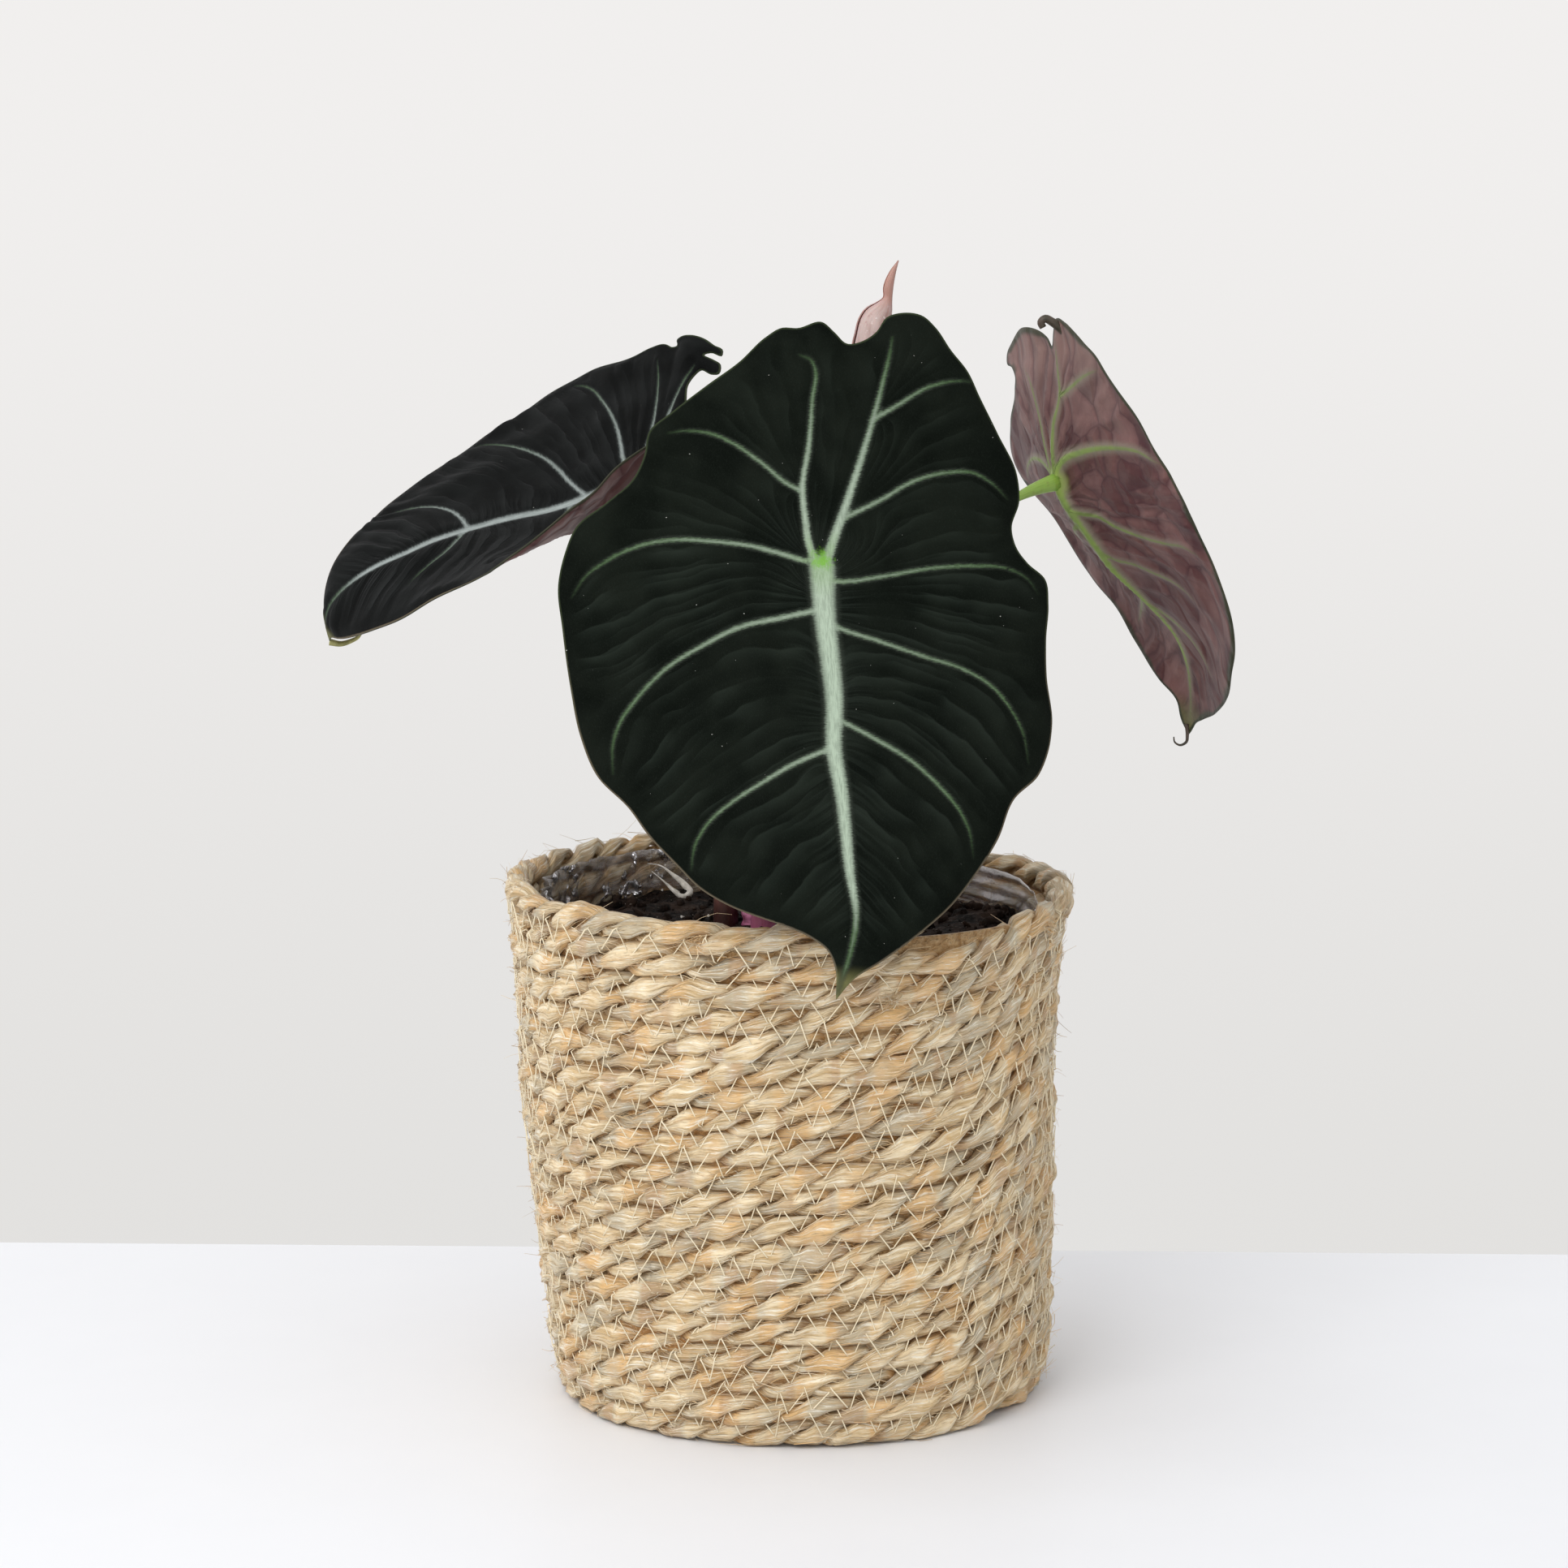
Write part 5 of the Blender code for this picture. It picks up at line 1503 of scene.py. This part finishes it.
def add_leaf(name, leaf, top, under):
    """A blade: its upper face, its lower face and the narrow rim between them."""
    blade = Blade(leaf)
    corners = np.array(leaf["outline"]) * MM
    outline = closed_curve(corners, 0.9 * LEAF_SPACING, int(np.argmin(corners[:, 1])))
    veins = vein_lines(leaf)
    flat, faces = flat_mesh(outline, thinned(np.vstack([path for path, _, _ in veins]), VEIN_STEP))
    count = len(flat)
    found = [flat_distance(flat, path) for path, _, _ in veins]
    beyond, width, pale = vein_field(veins, found)
    off_midrib, nearest = found[0]
    half = flat[:, 0] - veins[0][0][nearest, 0]
    margin, _ = flat_distance(flat, outline)
    seed = int(leaf["length"])
    solid = np.c_[flat, np.zeros(count)]
    drift = 1.7 * lumps(solid, 15 * MM, seed) + 0.5 * lumps(solid, 5 * MM, seed + 5)
    folds_left, folds_right = (fold_field(flat, faces, veins, found, way) + drift for way in (-1, 1))
    folds = np.where(half < 0, folds_left, folds_right)
    middle = blade.places(flat[:, 0], flat[:, 1])
    normals = surface_normals(middle, faces)
    relief = blade_relief(solid, seed, beyond, width, margin, folds)
    points = np.vstack([middle + normals * lift[:, None] for lift in relief])
    one, other = border_of(faces, count)
    rim = np.stack([other, one, one + count, other + count], 1)
    slots = np.concatenate([np.zeros(len(faces)), np.ones(len(faces) + len(rim))])
    fields = {
        "beyond": beyond / MM, "width": width / MM, "pale": pale, "margin": margin / MM,
        "folds_left": folds_left, "folds_right": folds_right, "half": half / MM,
        "off_midrib": (off_midrib - veins[0][1][nearest]) / MM,
        "junction": np.linalg.norm(flat, axis=1) / MM,
        "down": -flat[:, 1] / blade.length,
        "flat": np.c_[flat / MM, np.full(count, seed)],
    }
    values = {label: np.concatenate([field, field]) for label, field in fields.items()}
    shape = points, [faces, faces[:, ::-1] + count, rim]
    add_piece(name + "_blade", shape, [top, under], [name], slots, values)
    return blade


def add_curls():
    """The rolled and hooked ends of the blades."""
    for name, (node, (start, end), tones, points) in CURLS.items():
        path = route(np.array(points) * MM, CURL_RINGS)
        shape = tube(path, np.linspace(start, end, CURL_RINGS) * MM, CURL_SIDES)
        add_piece(name, shape, [curl_finish(name + "_skin", *tones)], [node])


# ================================================================ stems
def stem_foot(leaf_name):
    """The first places of a stem: under the soil, at its top, and where the stem starts to lean."""
    turn = math.radians(STEM_ANGLES[leaf_name])
    out = CROWN_RADIUS + STEM_FOOT_RADIUS + STEM_LEAN_GAP
    return [
        CROWN + np.array((math.cos(turn) * out, math.sin(turn) * out, -depth))
        for depth in (STEM_DEPTH, 0, -STEM_UPRIGHT)
    ]


def add_stem(name, path, radii, finish, blush=0.0):
    along = np.linspace(0, length_of(path) / MM, len(path))
    angle = np.arange(STEM_SIDES) * TURN / STEM_SIDES
    foot = with_ends(np.repeat(1 - smooth_step(along, 8, 38), STEM_SIDES))
    values = {
        "fibre": fibre_places(along * 0.10, angle, 2.0),
        "foot": foot,
        "blush": np.full(len(foot), blush),
    }
    shape = tube(path, radii, STEM_SIDES)
    add_piece(name + "_petiole", shape, [finish], [name], attributes=values)


def add_stems(blades):
    """The stems and the rolled leaf; the front leaf's stem has a pink foot."""
    green, pink = stem_finish(), pink_finish()
    for name, blade in blades.items():
        under = blade.under_way()
        seat = blade.stem_point + under * LEAF_THICKNESS / 2
        middle = [np.array(p) * MM for p in STEM_ROUTES[name]]
        path = route(stem_foot(name) + middle + [seat + under * STEM_STRAIGHT_END, seat], 90)
        radii = curve_through(STEM_SHARES, STEM_RADII, np.linspace(0, 1, len(path))) * MM
        blush = 1.0 if name == "leaf_front" else 0.0
        add_stem(name.replace("leaf", "stem"), path, radii, green, blush)
    path = route(stem_foot("leaf_rolled") + [np.array(p) * MM for p in ROLLED_STEM_ROUTE], 80)
    radii = np.linspace(*ROLLED_STEM_RADII, len(path)) * MM
    add_stem("stem_rolled", path, radii, pink)
    add_rolled_leaf(pink)


def add_rolled_leaf(finish):
    """The new leaf: one thin sheet wound into a roll, drawn out to a hooked tip."""
    axis = route(np.array(ROLL_AXIS) * MM, ROLL_RINGS)
    shares = np.linspace(0, 1, ROLL_RINGS)
    knots = lengths_along(np.array(ROLL_AXIS))
    radii = np.maximum(curve_through(knots / knots[-1], ROLL_RADII, shares), 0.15) * MM
    winds = np.linspace(0, ROLL_TURNS * TURN, ROLL_POINTS)
    rings = []
    for centre, radius, share, ways in zip(axis, radii, shares, square_ways(axis, (0.2, 1, 0))):
        angle = ROLL_START + ROLL_DRIFT * share - winds
        outer = radius * (1 - ROLL_SHRINK * winds / winds[-1])
        inner = outer - ROLL_SHEET * radius
        outer, inner = (around(centre, r[:, None], angle, *ways) for r in (outer, inner))
        rings.append(np.vstack([outer, inner[::-1]]))
    rings = np.array(rings)[:, ::-1]
    angle = np.concatenate([winds[::-1], winds])
    values = {
        "fibre": fibre_places(shares * 7.5, angle, 2.2),
        "tip": with_ends(np.repeat(smooth_step(shares, 0.84, 0.90), len(angle))),
        "seam": with_ends(np.tile(smooth_step(angle, 0.35, 0.1), ROLL_RINGS)),
    }
    add_piece("leaf_rolled_sheet", ring_mesh(rings), [finish], ["leaf_rolled"],
              attributes=values)


def add_root_stock():
    """Short thick stock, ringed with the scars and the last sheaths of older leaves."""
    heights = np.linspace(CROWN_HEIGHTS[0], CROWN_HEIGHTS[-1], CROWN_RINGS)
    radii = curve_through(CROWN_HEIGHTS, CROWN_RADII, heights)
    scars = 0.35 * np.abs(np.sin(heights * 1.25))
    circle = circle_at(np.arange(CROWN_SIDES) / CROWN_SIDES)
    rings = []
    for height, radius, scar in zip(heights, radii, scars):
        level = np.full(CROWN_SIDES, height)
        out = (radius + scar + 0.35 * lumps(np.c_[circle * 5.0, level], 3.0, 71)) * MM
        rings.append(np.c_[circle * out[:, None], level * MM] + CROWN)
    shape = ring_mesh(np.array(rings))
    add_piece("root_stock_stub", shape, [crown_finish()], ["root_stock"])


# ================================================================ stage, light and camera
def add_stage():
    """Plain pale table top, which ends a little behind the plant."""
    mesh = bpy.data.meshes.new("floor")
    mesh.from_pydata(FLOOR_CORNERS, [], [(0, 1, 2, 3)])
    floor = bpy.data.objects.new("floor", mesh)
    floor.location.z = -FLOOR_DROP
    bpy.context.scene.collection.objects.link(floor)
    f = principled("pale_floor", Roughness=0.5, Specular_IOR_Level=0.3)
    grain = f.noise(f.place(), 40.0, 2.0)
    f.set(Base_Color=f.mix(grain, (0.835, 0.847, 0.880), (0.855, 0.867, 0.900)))
    mesh.materials.append(f.owner)


def add_light():
    """A broad soft key from the front left; pale surroundings, plain and even behind the plant."""
    world = Shader(bpy.data.worlds.new("studio"), "Background")
    way = world.place("Generated")
    inputs = {0: way, 1: unit(np.array((-0.6, -0.45, 0.65)))}
    towards_key = world.node("VectorMath", inputs, "Value", operation="DOT_PRODUCT")
    up = world.axis(way, "Z")
    wall = world.blend(up, -0.27, 0.02, (0.765, 0.755, 0.74), (0.88, 0.865, 0.855))
    room = world.blend(towards_key, -0.6, 1.0, (0.45, 0.447, 0.445), (1.16, 1.155, 1.15))
    room = world.blend(up, -0.1, 0.0, (0.80, 0.79, 0.78), room)
    world.set(Color=world.blend(world.axis(way, "Y"), 0.75, 0.92, room, wall))
    bpy.context.scene.world = world.owner
    light = bpy.data.lights.new("key", "AREA")
    light.size, light.energy = KEY_SIZE, KEY_ENERGY
    key = bpy.data.objects.new("key", light)
    key.location = KEY_PLACE
    key.rotation_euler = (Vector(KEY_AIM) - key.location).to_track_quat("-Z", "Y").to_euler()
    bpy.context.scene.collection.objects.link(key)
    bpy.context.scene.view_settings.view_transform = "Standard"


def add_camera():
    data = bpy.data.cameras.new("camera")
    data.sensor_width = SENSOR
    data.lens = FOCAL_PIXELS / PICTURE_SIZE * SENSOR
    camera = bpy.data.objects.new("camera", data)
    camera.location = CAMERA_PLACE
    camera.rotation_euler = (math.radians(90 - CAMERA_TILT), 0, 0)
    bpy.context.scene.collection.objects.link(camera)
    bpy.context.scene.camera = camera


add_basket()
add_liner()
add_soil()
add_root_stock()
underside = underside_finish()
blades = {}
for leaf_name, leaf in LEAVES.items():
    velvet = velvet_finish(leaf_name.replace("leaf", "velvet"), **VELVETS[leaf_name])
    blades[leaf_name] = add_leaf(leaf_name, leaf, velvet, underside)
add_curls()
add_stems(blades)
add_stage()
add_light()
add_camera()
